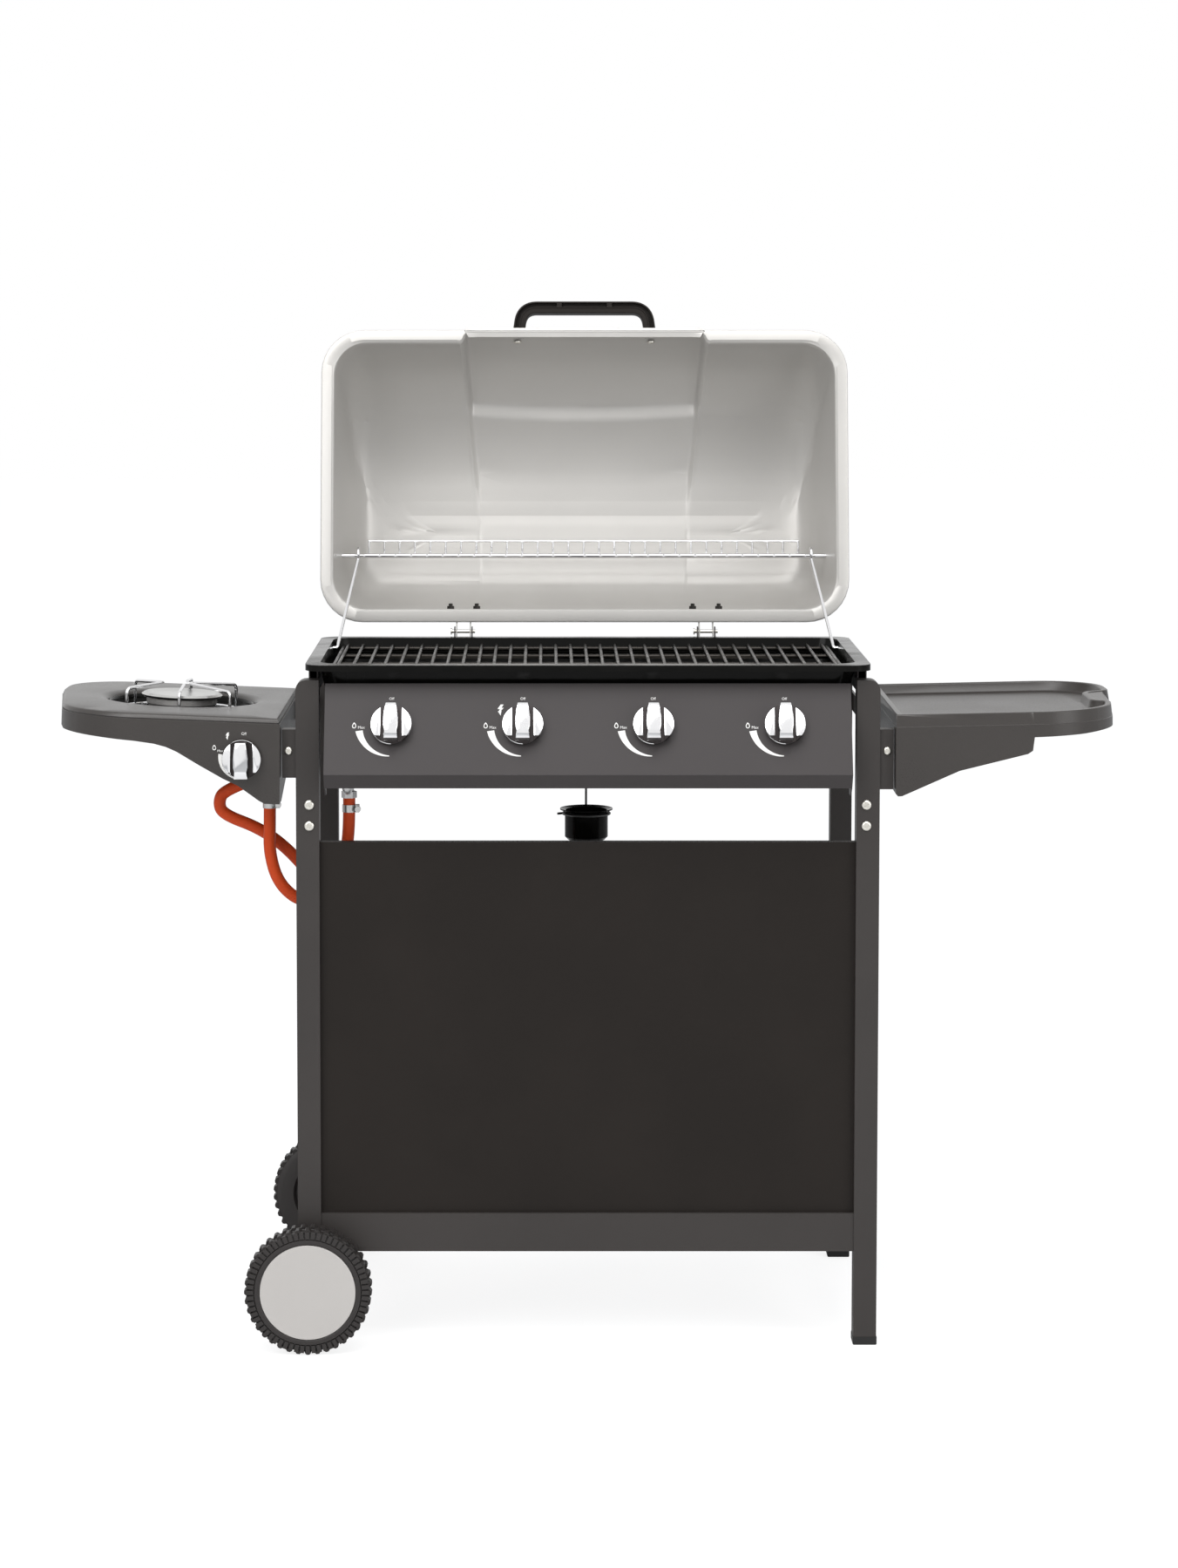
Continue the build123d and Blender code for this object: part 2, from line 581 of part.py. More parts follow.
def build_rack():
    """The warming rack with its rear fence, on a rod in the lid, and two swing legs."""
    slope = (RACK_FRONT[1] - RACK_REAR[1]) / (RACK_FRONT[0] - RACK_REAR[0])
    rear_y = RACK_REAR[0] + 55.0

    def on_slope(y, lift=0.0):
        return RACK_REAR[1] + (y - RACK_REAR[0]) * slope + lift

    half = 326.0
    bars = [rod((-half, RACK_REAR[0], RACK_REAR[1]), (half, RACK_REAR[0], RACK_REAR[1]), 2.9)]
    front_y = RACK_FRONT[0]
    wide = 288.0
    bars.append(rod((-wide, front_y + 4, on_slope(front_y + 4)), (wide, front_y + 4, on_slope(front_y + 4)), 2.4))
    bars.append(rod((-wide, rear_y, on_slope(rear_y)), (wide, rear_y, on_slope(rear_y)), 2.0))
    bars.append(rod((-wide, rear_y, on_slope(rear_y, 20)), (wide, rear_y, on_slope(rear_y, 20)), 1.6))
    count = 29
    for index in range(count):
        x = -wide + index * 2 * wide / (count - 1)
        bars.append(rod((x, front_y, on_slope(front_y)), (x, rear_y, on_slope(rear_y)), 1.6))
        bars.append(rod((x, rear_y, on_slope(rear_y, -0.5)), (x, rear_y, on_slope(rear_y, 20)), 1.4))
    for side in (-1, 1):
        bars.append(rod((side * wide, front_y, RACK_FRONT[1]), (side * (wide + 12), front_y, RACK_FRONT[1]), 1.8))
    keep("warming_rack", joined(bars))
    for word, side in (("left", -1), ("right", 1)):
        dy, dz = RACK_FRONT[0] - LEG_FOOT[0], RACK_FRONT[1] - LEG_FOOT[1]
        size = math.hypot(dy, dz)
        middle_y = RACK_FRONT[0] + dy / size * EYE_LEAD
        middle_z = RACK_FRONT[1] + dz / size * EYE_LEAD
        eye = Plane(origin=(side * 295, middle_y, middle_z), z_dir=(1, 0, 0)) * Torus(7.3, 1.9)
        top = (side * 295, middle_y - dy / size * 7.4, middle_z - dz / size * 7.4)
        low = (side * 317.6, LEG_FOOT[0], LEG_FOOT[1])
        end = (side * 326.4, LEG_FOOT[0], LEG_FOOT[1])
        keep(f"rack_leg_{word}", bent_wire([top, low, end], 2.0, [3.5]) + eye)


# Shelves and side burner ---------------------------------------------------------------------------


def shelf_plan(side, inset, z):
    """The plan of a side shelf at one height, drawn in by an inset."""
    points = [(SHELF_INSIDE, -10), (634, -10), (663, 230), (661, 345), (SHELF_INSIDE, 345)]
    face = make_face(Plane.XY.offset(z) * Polyline(*[(side * x, y) for x, y in points], close=True))
    face = fillet([v for v in face.vertices() if v.Y < 0 and abs(v.X) > 600], 98)
    face = fillet([v for v in face.vertices() if abs(v.X) > 655 and v.Y > 340], 85)
    if inset:
        face = offset(face, -inset)
    return face


def tilted(side, top, degrees, shape):
    """Lift the outer end of a shelf about its inner edge."""
    return shape.rotate(Axis((side * SHELF_INSIDE, 0, top), (0, 1, 0)), -side * degrees)


def build_shelf(side, top, degrees, apron, tray):
    """A moulded shelf with a skirt, an apron at the front and an inner side plate."""
    shelf = extrude(shelf_plan(side, 0, top - SHELF_SKIRT), SHELF_SKIRT)
    shelf = shelf - extrude(shelf_plan(side, 3.0, top - SHELF_SKIRT - 1), SHELF_SKIRT + 1 - (16.0 if tray else 3.0))
    if tray:
        shelf = shelf - extrude(shelf_plan(side, 9.0, top - 13.0), 14.0)
    else:
        cx, cy = SIDE_BURNER
        shelf = shelf - Pos(cx, cy, top - 10) * Cylinder(90, 60)
    shelf = tilted(side, top, degrees, shelf)
    front = prism_xz(apron, -10, -7)
    x0, x1 = sorted((side * SHELF_INSIDE, side * (SHELF_INSIDE + 3)))
    plate = prism_yz([(-10, top - 4), (-10, apron[1][1]), (24, apron[1][1]), (345, top - 40), (345, top - 4)], x0, x1)
    stiffener = prism_xz([(side * (SHELF_INSIDE + 1), apron[1][1]), (side * (SHELF_INSIDE + 1), apron[1][1] + 3),
                          (apron[3][0], apron[3][1] + 3), (apron[3][0], apron[3][1])], -8, 14)
    body = joined([shelf, front, plate, stiffener])
    return body


def build_shelves():
    """The side burner shelf, the tray and the brackets that hold both to the front and rear legs."""
    left_apron = [(-371.0, 768), (-371.0, 666.6), (-390.0, 666.6), (-421.7, 689), (-440.7, 697.4), (-496.4, 730.3),
                  (-515.4, 738.7), (-548, 744), (-552, 766)]
    left = build_shelf(-1, LEFT_SHELF_Z, LEFT_TILT, left_apron, False)
    x, z = SIDE_KNOB
    left = left - rod((x, -20, z), (x, 5, z), 5.2)
    keep("shelf_left", left)
    right_apron = [(371.0, 773), (371.0, 677), (378.0, 677), (447.5, 708), (533, 729), (538, 742), (552, 746),
                   (552, 770)]
    keep("shelf_right", build_shelf(1, RIGHT_SHELF_Z, RIGHT_TILT, right_apron, True))
    brackets = []
    for side, low in ((-1, 698), (1, 684)):
        for y in (4.0, REAR_LEG_Y - 110):
            x0, x1 = sorted((side * (LEG_OUTSIDE + 0.1), side * (SHELF_INSIDE - 1.3)))
            if y > 100:
                brackets.append(block(x0, x1, y, y + 22, 733, 757))
                bar0, bar1 = sorted((side * (LEG_OUTSIDE + 0.1), side * (LEG_OUTSIDE + 3)))
                brackets[-1] = brackets[-1] + block(bar0, bar1, y, REAR_LEG_Y + LEG, 733, 757)
            else:
                brackets.append(block(x0, x1, y, y + 20, low, 757))
    for side in (-1, 1):
        hole = rod((side * 362, 0, 731), (side * 362, 12, 731), 2.5)
        brackets = [piece - hole for piece in brackets]
    keep("shelf_brackets", group(brackets))


SIDE_KNOB = (-417.0, 723.0)


def revolved(profile, cx, cy):
    """A solid of revolution about a vertical axis, from a profile of (radius, z)."""
    face = make_face(Plane.XZ * Polyline(*profile, close=True))
    return Pos(cx, cy, 0) * revolve(face, Axis.Z)


def build_side_burner():
    """The bowl, burner head, cap, pan support, valve and knob of the side burner."""
    cx, cy = SIDE_BURNER
    top = LEFT_SHELF_Z

    def lean(shape):
        return tilted(-1, top, LEFT_TILT, shape)

    bowl = revolved([(11, top - 22), (80, top - 22), (88, top - 12), (88.5, top), (95, top), (95, top + 1.2),
                     (87.5, top + 1.2), (86.8, top - 11.5), (79.5, top - 20.6), (11, top - 20.6)], cx, cy)
    keep("side_burner_bowl", lean(bowl))
    head = revolved([(0, top - 20.6), (30, top - 20.6), (38, top - 14), (44, top - 6), (44, top + 1.5),
                     (0, top + 1.5)], cx, cy)
    throat = bent_wire([(cx, cy, top - 18), (cx, cy, top - 47), (-424, 112, top - 47)], 10.0, [14])
    keep("side_burner_head", lean(head + throat))
    cap = revolved([(0, top + 1.5), (48, top + 1.5), (50.5, top + 4.5), (47, top + 7), (38, top + 4.7),
                    (0, top + 4.7)], cx, cy)
    keep("side_burner_cap", lean(cap))
    turns = [math.radians(step * 45 + 22.5) for step in range(8)]
    section = [(80.0 + 2.4 * math.cos(turn), top - 16 + 2.4 * math.sin(turn)) for turn in turns]
    wires = [revolved(section, cx, cy)]
    for side, reach in ((-1, 22.0), (1, 6.0)):
        line = [(cx + side * 64, cy - 48, top - 16), (cx + side * 64, cy - 48, top + 14),
                (cx + side * reach, cy, top + 18.5), (cx + side * 64, cy + 48, top + 14),
                (cx + side * 64, cy + 48, top - 16)]
        wires.append(bent_wire(line, 2.1, [6.0, 8.0, 6.0]))
    for row in (-1, 1):
        line = [(cx + 4, cy + row * 80, top - 16), (cx + 4, cy + row * 80, top + 15),
                (cx + 4, cy + row * 24, top + 18.5)]
        wires.append(bent_wire(line, 2.1, [6.0]))
    keep("pan_support", lean(joined(wires)))
    x, z = SIDE_KNOB
    foot = (x, -10.0, z)
    axis = Vector(0, -1, 0)
    keep("knob_side", knob_solid(foot, axis))
    keep("valve_stem_side", stem_solid(foot, axis))
    body = block(x - 12, x + 12, 8, 30, z - 13, z + 13)
    collar = rod((x, -5, z), (x, 9, z), 8.5)
    bore = rod((x, -6, z), (x, 14, z), STEM_R + 0.08)
    outlet = rod((x, 28, z), (x, 92, z), 7.2)
    side_run = bent_wire([(x, HOSE_Y, z), (-388, HOSE_Y, z), (-388, HOSE_Y, 672)], 6.0, [8])
    start = Vector(*SUPPLY_HOSE[0])
    back = (start - Vector(*SUPPLY_HOSE[1])).normalized()
    knee = start + back * 22
    feed = bent_wire([(x, SUPPLY_Y, z), (knee.X, SUPPLY_Y, z), tuple(knee), tuple(start)], 6.0, [8, 8])
    nut = extrude(Plane(origin=start + back * 2, z_dir=back) * RegularPolygon(9.5, 6), 9)
    keep("side_valve", joined([body, collar, outlet, side_run, feed, nut]) - bore)


# Grease cup ----------------------------------------------------------------------------------------


def build_cup():
    """The grease cup in the ring of its wire hanger under the drain hole."""
    cup = revolved([(0, 599), (23, 599), (27, 603), (27, 634.5), (33, 637), (33, 638.5), (26, 636.5), (25.8, 604),
                    (22.5, 600.2), (0, 600.2)], 0, CUP_Y)
    keep("grease_cup", cup)
    ring = Pos(0, CUP_Y, 632.0) * Torus(29.2, 1.5)
    post = bent_wire([(0, CUP_Y + 29.2, 632), (0, CUP_Y + 38, 632), (0, CUP_Y + 38, 676), (0, CUP_Y + 20, 682),
                      (0, CUP_Y + 20, TUB_FLOOR_Z)], 1.5, [4, 5, 4])
    tail = rod((-29.2, CUP_Y, 632), (-36, CUP_Y - 4, 632), 1.5)
    keep("cup_hanger", joined([ring, post, tail]))


# Gas hoses -----------------------------------------------------------------------------------------


def bend_radii(points):
    """The largest tangent arc that each corner's two runs allow."""
    radii = []
    for index in range(1, len(points) - 1):
        before = Vector(*points[index]) - Vector(*points[index - 1])
        after = Vector(*points[index + 1]) - Vector(*points[index])
        turn = math.radians(before.get_angle(after))
        radii.append(0.45 * min(before.length, after.length) / math.tan(turn / 2))
    return radii


def hose_along(name, points):
    """A plain round hose along a route, with a report of its bends and length."""
    radii = bend_radii(points)
    path = FilletPolyline(*points, radius=radii)
    tube = sweep(Plane(origin=path @ 0, z_dir=path % 0) * Circle(HOSE_R), path=path)
    expected = math.pi * HOSE_R ** 2 * path.length
    print(name, "radii", [round(radius) for radius in radii], "length", round(path.length),
          "volume ratio", round(tube.volume / expected, 4))
    keep(name, tube)


SIDE_HOSE = (
    (-388, 48, 672), (-388, 48, 636), (-389, 48, 600), (-378, 48, 562), (-350, 49, 538),
    (-316, 49, 545), (-298, 48, 575), (-294, 48, 606), (-291, 48, 636), (-291, 48, 668),
)
SUPPLY_HOSE = (
    (-412, 74, 686), (-445.8, 74, 673.8), (-452.9, 74, 659.2), (-447.9, 74, 643.8), (-401, 75, 626),
    (-365, 77, 598), (-331, 80, 556), (-306, 82, 508), (-296, 84, 462), (-292, 85, 415), (-292, 85, 372),
)


def build_hoses():
    """The hose between the two burners' valves, the supply hose, the clamps and the regulator."""
    hose_along("hose_side", SIDE_HOSE)
    hose_along("hose_supply", SUPPLY_HOSE)
    clamps = []
    for x, z in ((-388, 660), (-291, 655)):
        band = Pos(x, HOSE_Y, z) * (Cylinder(8.6, 9) - Cylinder(7.6, 12))
        house = block(x + 7.9, x + 12.5, HOSE_Y - 7, HOSE_Y + 5, z - 4.5, z + 4.5)
        worm = rod((x + 11, HOSE_Y - 12, z), (x + 11, HOSE_Y - 6, z), 3.6)
        clamps.append(joined([band, house, worm]))
    keep("hose_clamps", group(clamps))
    x, y, z = SUPPLY_HOSE[-1]
    neck = rod((x, y, z), (x, y, z - 26), 8)
    body = revolved([(0, z - 66), (12, z - 66), (27, z - 58), (30, z - 48), (30, z - 36), (22, z - 26), (0, z - 22)], x, y)
    inlet = rod((x, y - 20, z - 46), (x, y - 50, z - 46), 13)
    keep("regulator", joined([neck, body, inlet]))


def main():
    build_legs()
    build_rails()
    build_wheels()
    build_firebox()
    build_grate()
    build_burners()
    build_control_panel()
    build_gas_train()
    build_lid()
    build_hinges()
    build_rack()
    build_shelves()
    build_side_burner()
    build_cup()
    build_hoses()
    boxes = [shape.bounding_box() for name, shape in NODES.items() if name not in HOSE_NODES]
    low_x, high_x = min(box.min.X for box in boxes), max(box.max.X for box in boxes)
    low_y, high_y = min(box.min.Y for box in boxes), max(box.max.Y for box in boxes)
    shift = (round(-(low_x + high_x) / 2, 3), round(-(low_y + high_y) / 2, 3), 0.0)
    print("moved by", shift, "size", high_x - low_x, high_y - low_y, max(box.max.Z for box in boxes))
    for name, shape in NODES.items():
        export_step(Pos(*shift) * shape, f"parts/{name}.step")
    print("nodes", len(NODES))


main()
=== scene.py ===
"""A gas barbecue on a two wheel trolley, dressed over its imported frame."""
import json
import math

import bmesh
import bpy
from mathutils import Matrix, Vector


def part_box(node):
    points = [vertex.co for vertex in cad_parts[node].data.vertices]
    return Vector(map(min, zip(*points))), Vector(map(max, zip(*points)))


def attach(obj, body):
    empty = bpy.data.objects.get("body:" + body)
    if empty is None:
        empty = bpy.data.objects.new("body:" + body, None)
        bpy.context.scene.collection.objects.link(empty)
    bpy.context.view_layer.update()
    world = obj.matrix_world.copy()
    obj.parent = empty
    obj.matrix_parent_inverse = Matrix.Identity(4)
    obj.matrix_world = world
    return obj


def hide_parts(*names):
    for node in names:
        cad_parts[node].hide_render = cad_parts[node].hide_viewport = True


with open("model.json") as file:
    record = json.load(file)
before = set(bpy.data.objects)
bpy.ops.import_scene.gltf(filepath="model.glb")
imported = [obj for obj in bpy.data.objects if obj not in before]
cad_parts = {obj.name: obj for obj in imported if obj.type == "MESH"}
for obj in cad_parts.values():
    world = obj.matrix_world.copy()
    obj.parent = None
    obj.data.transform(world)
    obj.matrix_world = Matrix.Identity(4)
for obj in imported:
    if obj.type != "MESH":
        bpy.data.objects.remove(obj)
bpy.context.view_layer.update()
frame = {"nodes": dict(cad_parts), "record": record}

# The middle between the legs and the front face of the front legs, which every size below starts from
LEFT_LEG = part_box("leg_front_left_lower")
RIGHT_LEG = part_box("leg_front_right_lower")
MIDDLE = (LEFT_LEG[0].x + RIGHT_LEG[1].x) / 2
FRONT = LEFT_LEG[0].y


def at(x, y, z):
    """A place given in millimetres from the middle, the legs' front face and the floor, in metres."""
    return Vector((MIDDLE + x / 1000, FRONT + y / 1000, z / 1000))


def new_object(name, data):
    """A new object in the scene."""
    thing = bpy.data.objects.new(name, data)
    bpy.context.scene.collection.objects.link(thing)
    return thing


# ---- camera, light and floor


def make_camera():
    """A long lens a little above the grill, looking slightly down."""
    bpy.context.scene.view_settings.view_transform = "Standard"
    data = bpy.data.cameras.new("camera")
    data.lens = 88.0
    data.sensor_width = 36.0
    data.sensor_fit = "AUTO"
    data.shift_x = 0.0278
    data.shift_y = -0.13
    data.clip_end = 60.0
    camera = new_object("camera", data)
    camera.location = at(-51.3, -4600.0, 1300.26)
    camera.rotation_euler = (math.radians(85.5), 0.0, 0.0)
    bpy.context.scene.camera = camera


def make_lamp(name, place, size, power, aim):
    """A soft rectangular lamp aimed at a point."""
    data = bpy.data.lights.new(name, "AREA")
    data.shape = "RECTANGLE"
    data.size, data.size_y = size
    data.energy = power
    lamp = new_object(name, data)
    lamp.location = place
    lamp.rotation_euler = (Vector(aim) - Vector(place)).to_track_quat("-Z", "Y").to_euler()


def emptied(owner):
    """The nodes and links of a shader tree that starts empty."""
    owner.use_nodes = True
    owner.node_tree.nodes.clear()
    return owner.node_tree.nodes, owner.node_tree.links


def worked_out(nodes, links, operation, first, second):
    """A Math node on one socket and on another socket or a number."""
    node = nodes.new("ShaderNodeMath")
    node.operation = operation
    links.new(first, node.inputs[0])
    if isinstance(second, float):
        node.inputs[1].default_value = second
    else:
        links.new(second, node.inputs[1])
    return node.outputs[0]


def shown(nodes, links, amount, first, second, output):
    """Mix two shaders by an amount and send them to the output node."""
    both = nodes.new("ShaderNodeMixShader")
    for socket, source in zip(both.inputs, (amount, first, second)):
        links.new(source, socket)
    links.new(both.outputs[0], nodes.new(output).inputs["Surface"])


def backdrop(nodes, colour, strength):
    """An even surround of one colour."""
    node = nodes.new("ShaderNodeBackground")
    node.inputs["Color"].default_value = (*colour, 1.0)
    node.inputs["Strength"].default_value = strength
    return node.outputs[0]


def make_light():
    """Soft studio lamps in front and above, and a surround that looks white but lights more dimly."""
    make_lamp("key lamp", (-2.2, -3.2, 3.0), (2.4, 2.4), 68.0, (0.0, 0.0, 0.6))
    make_lamp("fill lamp", (3.0, -2.6, 1.8), (2.0, 2.6), 38.0, (0.0, 0.0, 0.6))
    make_lamp("top lamp", (0.0, -2.0, 3.9), (3.4, 1.8), 80.0, (0.0, 0.3, 0.9))
    world = bpy.data.worlds.new("surround")
    bpy.context.scene.world = world
    nodes, links = emptied(world)
    rays = nodes.new("ShaderNodeLightPath").outputs
    seen = worked_out(nodes, links, "MAXIMUM", rays["Is Camera Ray"], rays["Is Transmission Ray"])
    mirrored = worked_out(nodes, links, "MAXIMUM", seen, rays["Is Glossy Ray"])
    white = backdrop(nodes, (1.0, 1.0, 1.0), 1.0)
    dim = backdrop(nodes, (0.95, 0.97, 1.0), 0.55)
    shown(nodes, links, mirrored, dim, white, "ShaderNodeOutputWorld")


def make_floor():
    """A wide pale floor that keeps a soft shadow under the grill."""
    bm = bmesh.new()
    bmesh.ops.create_grid(bm, x_segments=1, y_segments=1, size=14.0)
    mesh = bpy.data.meshes.new("floor")
    bm.to_mesh(mesh)
    bm.free()
    mesh.transform(Matrix.Translation((0.0, 6.0, -0.0005)))
    floor = new_object("floor", mesh)
    material = bpy.data.materials.new("pale floor")
    nodes, links = emptied(material)
    rays = nodes.new("ShaderNodeLightPath").outputs
    seen = worked_out(nodes, links, "MULTIPLY", rays["Is Camera Ray"], 0.6)
    matt = nodes.new("ShaderNodeBsdfDiffuse")
    matt.inputs["Color"].default_value = (0.86, 0.86, 0.86, 1.0)
    glow = nodes.new("ShaderNodeEmission")
    glow.inputs["Strength"].default_value = 1.37
    shown(nodes, links, seen, matt.outputs[0], glow.outputs[0], "ShaderNodeOutputMaterial")
    mesh.materials.append(material)


# ---- finishes


class Value:
    """A socket of a finish; adding to it or multiplying it makes a Math node."""

    def __init__(self, finish, socket):
        self.finish = finish
        self.socket = socket

    def __add__(self, other):
        return self.finish.maths("ADD", self, other)

    def __mul__(self, other):
        return self.finish.maths("MULTIPLY", self, other)


class Finish:
    """A material in the making: its shader and the nodes that feed it."""

    def __init__(self, name, colour, roughness, metallic=0.0, **constants):
        self.material = bpy.data.materials.new(name)
        self.material.use_nodes = True
        self.tree = self.material.node_tree
        self.shader = self.tree.nodes["Principled BSDF"]
        self.set("Base Color", colour)
        self.set("Roughness", roughness)
        self.set("Metallic", metallic)
        for socket, value in constants.items():
            self.set(socket.replace("_", " "), value)
        self.place = self.node("ShaderNodeTexCoord", output="Object")

    def feed(self, socket, value):
        """Link a value to a socket, or write a constant on it."""
        if isinstance(value, Value):
            self.tree.links.new(value.socket, socket)
        elif isinstance(value, tuple) and len(value) == 3 and socket.type == "RGBA":
            socket.default_value = (*value, 1.0)
        else:
            socket.default_value = value

    def set(self, socket, value):
        """Feed one socket of the shader."""
        self.feed(self.shader.inputs[socket], value)

    def node(self, kind, settings=None, inputs=None, output=0):
        """Add any node from its type, its settings and what its sockets get."""
        node = self.tree.nodes.new(kind)
        for name, value in (settings or {}).items():
            setattr(node, name, value)
        for name, value in (inputs or {}).items():
            self.feed(node.inputs[name], value)
        return Value(self, node.outputs[output])

    def maths(self, operation, first, second):
        """One Math node."""
        return self.node("ShaderNodeMath", {"operation": operation}, {0: first, 1: second})

    def noise(self, scale, detail, where=None):
        """A soft noise between nought and one."""
        return self.node("ShaderNodeTexNoise", None, {"Vector": where or self.place, "Scale": scale,
                                                      "Detail": detail, "Roughness": 0.5}, "Fac")

    def stretched(self, scale):
        """The object's coordinates, scaled differently along each axis."""
        return self.node("ShaderNodeMapping", None, {"Vector": self.place, "Scale": scale})

    def step(self, value, low, high):
        """How far a value has come from low to high, smoothed."""
        return self.node("ShaderNodeMapRange", {"interpolation_type": "SMOOTHSTEP"},
                         {"Value": value, "From Min": low, "From Max": high})

    def blend(self, mask, first, second):
        """One colour under another by a mask."""
        return self.node("ShaderNodeMix", {"data_type": "RGBA"}, {0: mask, 6: first, 7: second}, 2)

    def surface(self, colour, roughness, relief, depth):
        """Set the colour, the roughness and the relief, nought to one times a depth; gives the material."""
        self.set("Base Color", colour)
        self.set("Roughness", roughness)
        self.set("Normal", self.node("ShaderNodeBump", None, {"Height": relief, "Distance": depth,
                                                              "Strength": 1.0}))
        return self.material


def coated(name, colour, roughness, grain, depth, lighter=1.25, **constants):
    """Paint or powder coat with a fine grain, soft unevenness and a little dust."""
    finish = Finish(name, colour, roughness, **constants)
    fine = finish.noise(grain, 3.0)
    broad = finish.noise(6.0, 4.0)
    pale = tuple(min(1.0, c * lighter) for c in colour)
    return finish.surface(finish.blend(finish.step(broad, 0.35, 0.75) * 0.5 + fine * 0.25, colour, pale),
                          fine * 0.14 + broad * 0.12 + (roughness - 0.13), fine, depth)


def frame_paint(name):
    """Dark powder coat of the legs, rails and brackets."""
    return coated(name, (0.035, 0.031, 0.029), 0.46, 1400.0, 0.00006, Specular_IOR_Level=0.3)


def panel_sheet(name):
    """Nearly black sheet of the large front panel."""
    return coated(name, (0.012, 0.0095, 0.008), 0.5, 2200.0, 0.00008, 1.5, Specular_IOR_Level=0.16)


def control_paint(name):
    """Grey paint of the control panel."""
    return coated(name, (0.05, 0.045, 0.045), 0.42, 1600.0, 0.00005, 1.12, Specular_IOR_Level=0.2)


def enamel(name):
    """Black enamel with shallow ripples and a thin haze."""
    clean, hazy = (0.003, 0.003, 0.0026), (0.007, 0.0065, 0.006)
    finish = Finish(name, clean, 0.2, Specular_IOR_Level=0.1)
    ripple = finish.noise(38.0, 3.0)
    haze = finish.step(finish.noise(9.0, 5.0), 0.4, 0.8)
    return finish.surface(finish.blend(haze * 0.4, clean, hazy), haze * 0.16 + 0.16, ripple, 0.0006)


def bright_metal(name, colour, roughness, grain, spread=0.12, depth=0.00002, dull=0.75):
    """Bare or plated metal with fine pits and hazy patches."""
    finish = Finish(name, colour, roughness, 1.0)
    fine = finish.noise(grain, 3.0)
    patches = finish.step(finish.noise(24.0, 4.0), 0.35, 0.75)
    duller = tuple(c * dull for c in colour)
    return finish.surface(finish.blend(patches * 0.6, colour, duller),
                          patches * spread + fine * spread * 0.6 + (roughness - spread * 0.6), fine, depth)


def brushed_steel(name, colour, roughness, along):
    """Sheet metal with fine lines that run one way."""
    finish = Finish(name, colour, roughness, 1.0)
    lines = finish.noise(1.0, 2.0, finish.stretched(along))
    return finish.surface(finish.blend(lines, tuple(c * 0.8 for c in colour), colour),
                          lines * 0.14 + (roughness - 0.07), lines, 0.00003)


def moulded(name, colour, roughness, grain, depth, lighter=1.3, shine=0.35):
    """Moulded plastic with a leathery grain."""
    finish = Finish(name, colour, roughness, Specular_IOR_Level=shine)
    cells = finish.node("ShaderNodeTexVoronoi", {"feature": "SMOOTH_F1"},
                        {"Vector": finish.place, "Scale": grain, "Smoothness": 0.6}, "Distance")
    broad = finish.noise(7.0, 4.0)
    pale = tuple(c * lighter for c in colour)
    return finish.surface(finish.blend(finish.step(broad, 0.3, 0.8) * 0.6 + cells * 0.2, colour, pale),
                          cells * 0.1 + broad * 0.14 + (roughness - 0.1), cells, depth)


def hose_rubber(name):
    """Orange rubber with a fine grain and some dirt."""
    clean, dirty = (0.52, 0.06, 0.014), (0.42, 0.046, 0.013)
    finish = Finish(name, clean, 0.4, Specular_IOR_Level=0.12)
    dirt = finish.step(finish.noise(30.0, 4.0), 0.45, 0.8)
    fine = finish.noise(1500.0, 2.0)
    return finish.surface(finish.blend(dirt * 0.35, clean, dirty),
                          fine * 0.12 + dirt * 0.14 + 0.32, fine, 0.00004)


def lid_paint(name):
    """Pale metallic paint with fine flakes and a soft haze."""
    pale, deep = (0.57, 0.555, 0.53), (0.5, 0.487, 0.467)
    finish = Finish(name, pale, 0.4, 0.35, Specular_IOR_Level=0.4)
    flakes = finish.noise(1600.0, 3.0)
    haze = finish.step(finish.noise(5.0, 4.0), 0.3, 0.8)
    return finish.surface(finish.blend(haze * 0.5 + flakes * 0.2, deep, pale),
                          haze * 0.1 + flakes * 0.1 + 0.32, flakes, 0.00003)


def knob_chrome(name):
    """Plating with painted shade: it turns near black where a face carries the painted shade attribute."""
    # The near black colour is painted shade, not a colour of the plating itself.
    bright, dull, painted_dark = (0.86, 0.86, 0.87), (0.76, 0.76, 0.77), (0.045, 0.04, 0.04)
    finish = Finish(name, bright, 0.1, 1.0)
    painted_shade = finish.node("ShaderNodeAttribute", {"attribute_name": "painted_shade"}, output="Fac")
    patches = finish.step(finish.noise(60.0, 3.0), 0.35, 0.75)
    plating = finish.blend(patches * 0.5, bright, dull)
    # Painted shade: faces that carry the attribute get the near black colour instead of the plating.
    return finish.surface(finish.blend(painted_shade, plating, painted_dark),
                          patches * 0.05 + painted_shade * 0.12 + 0.08, finish.noise(1400.0, 2.0), 0.00001)


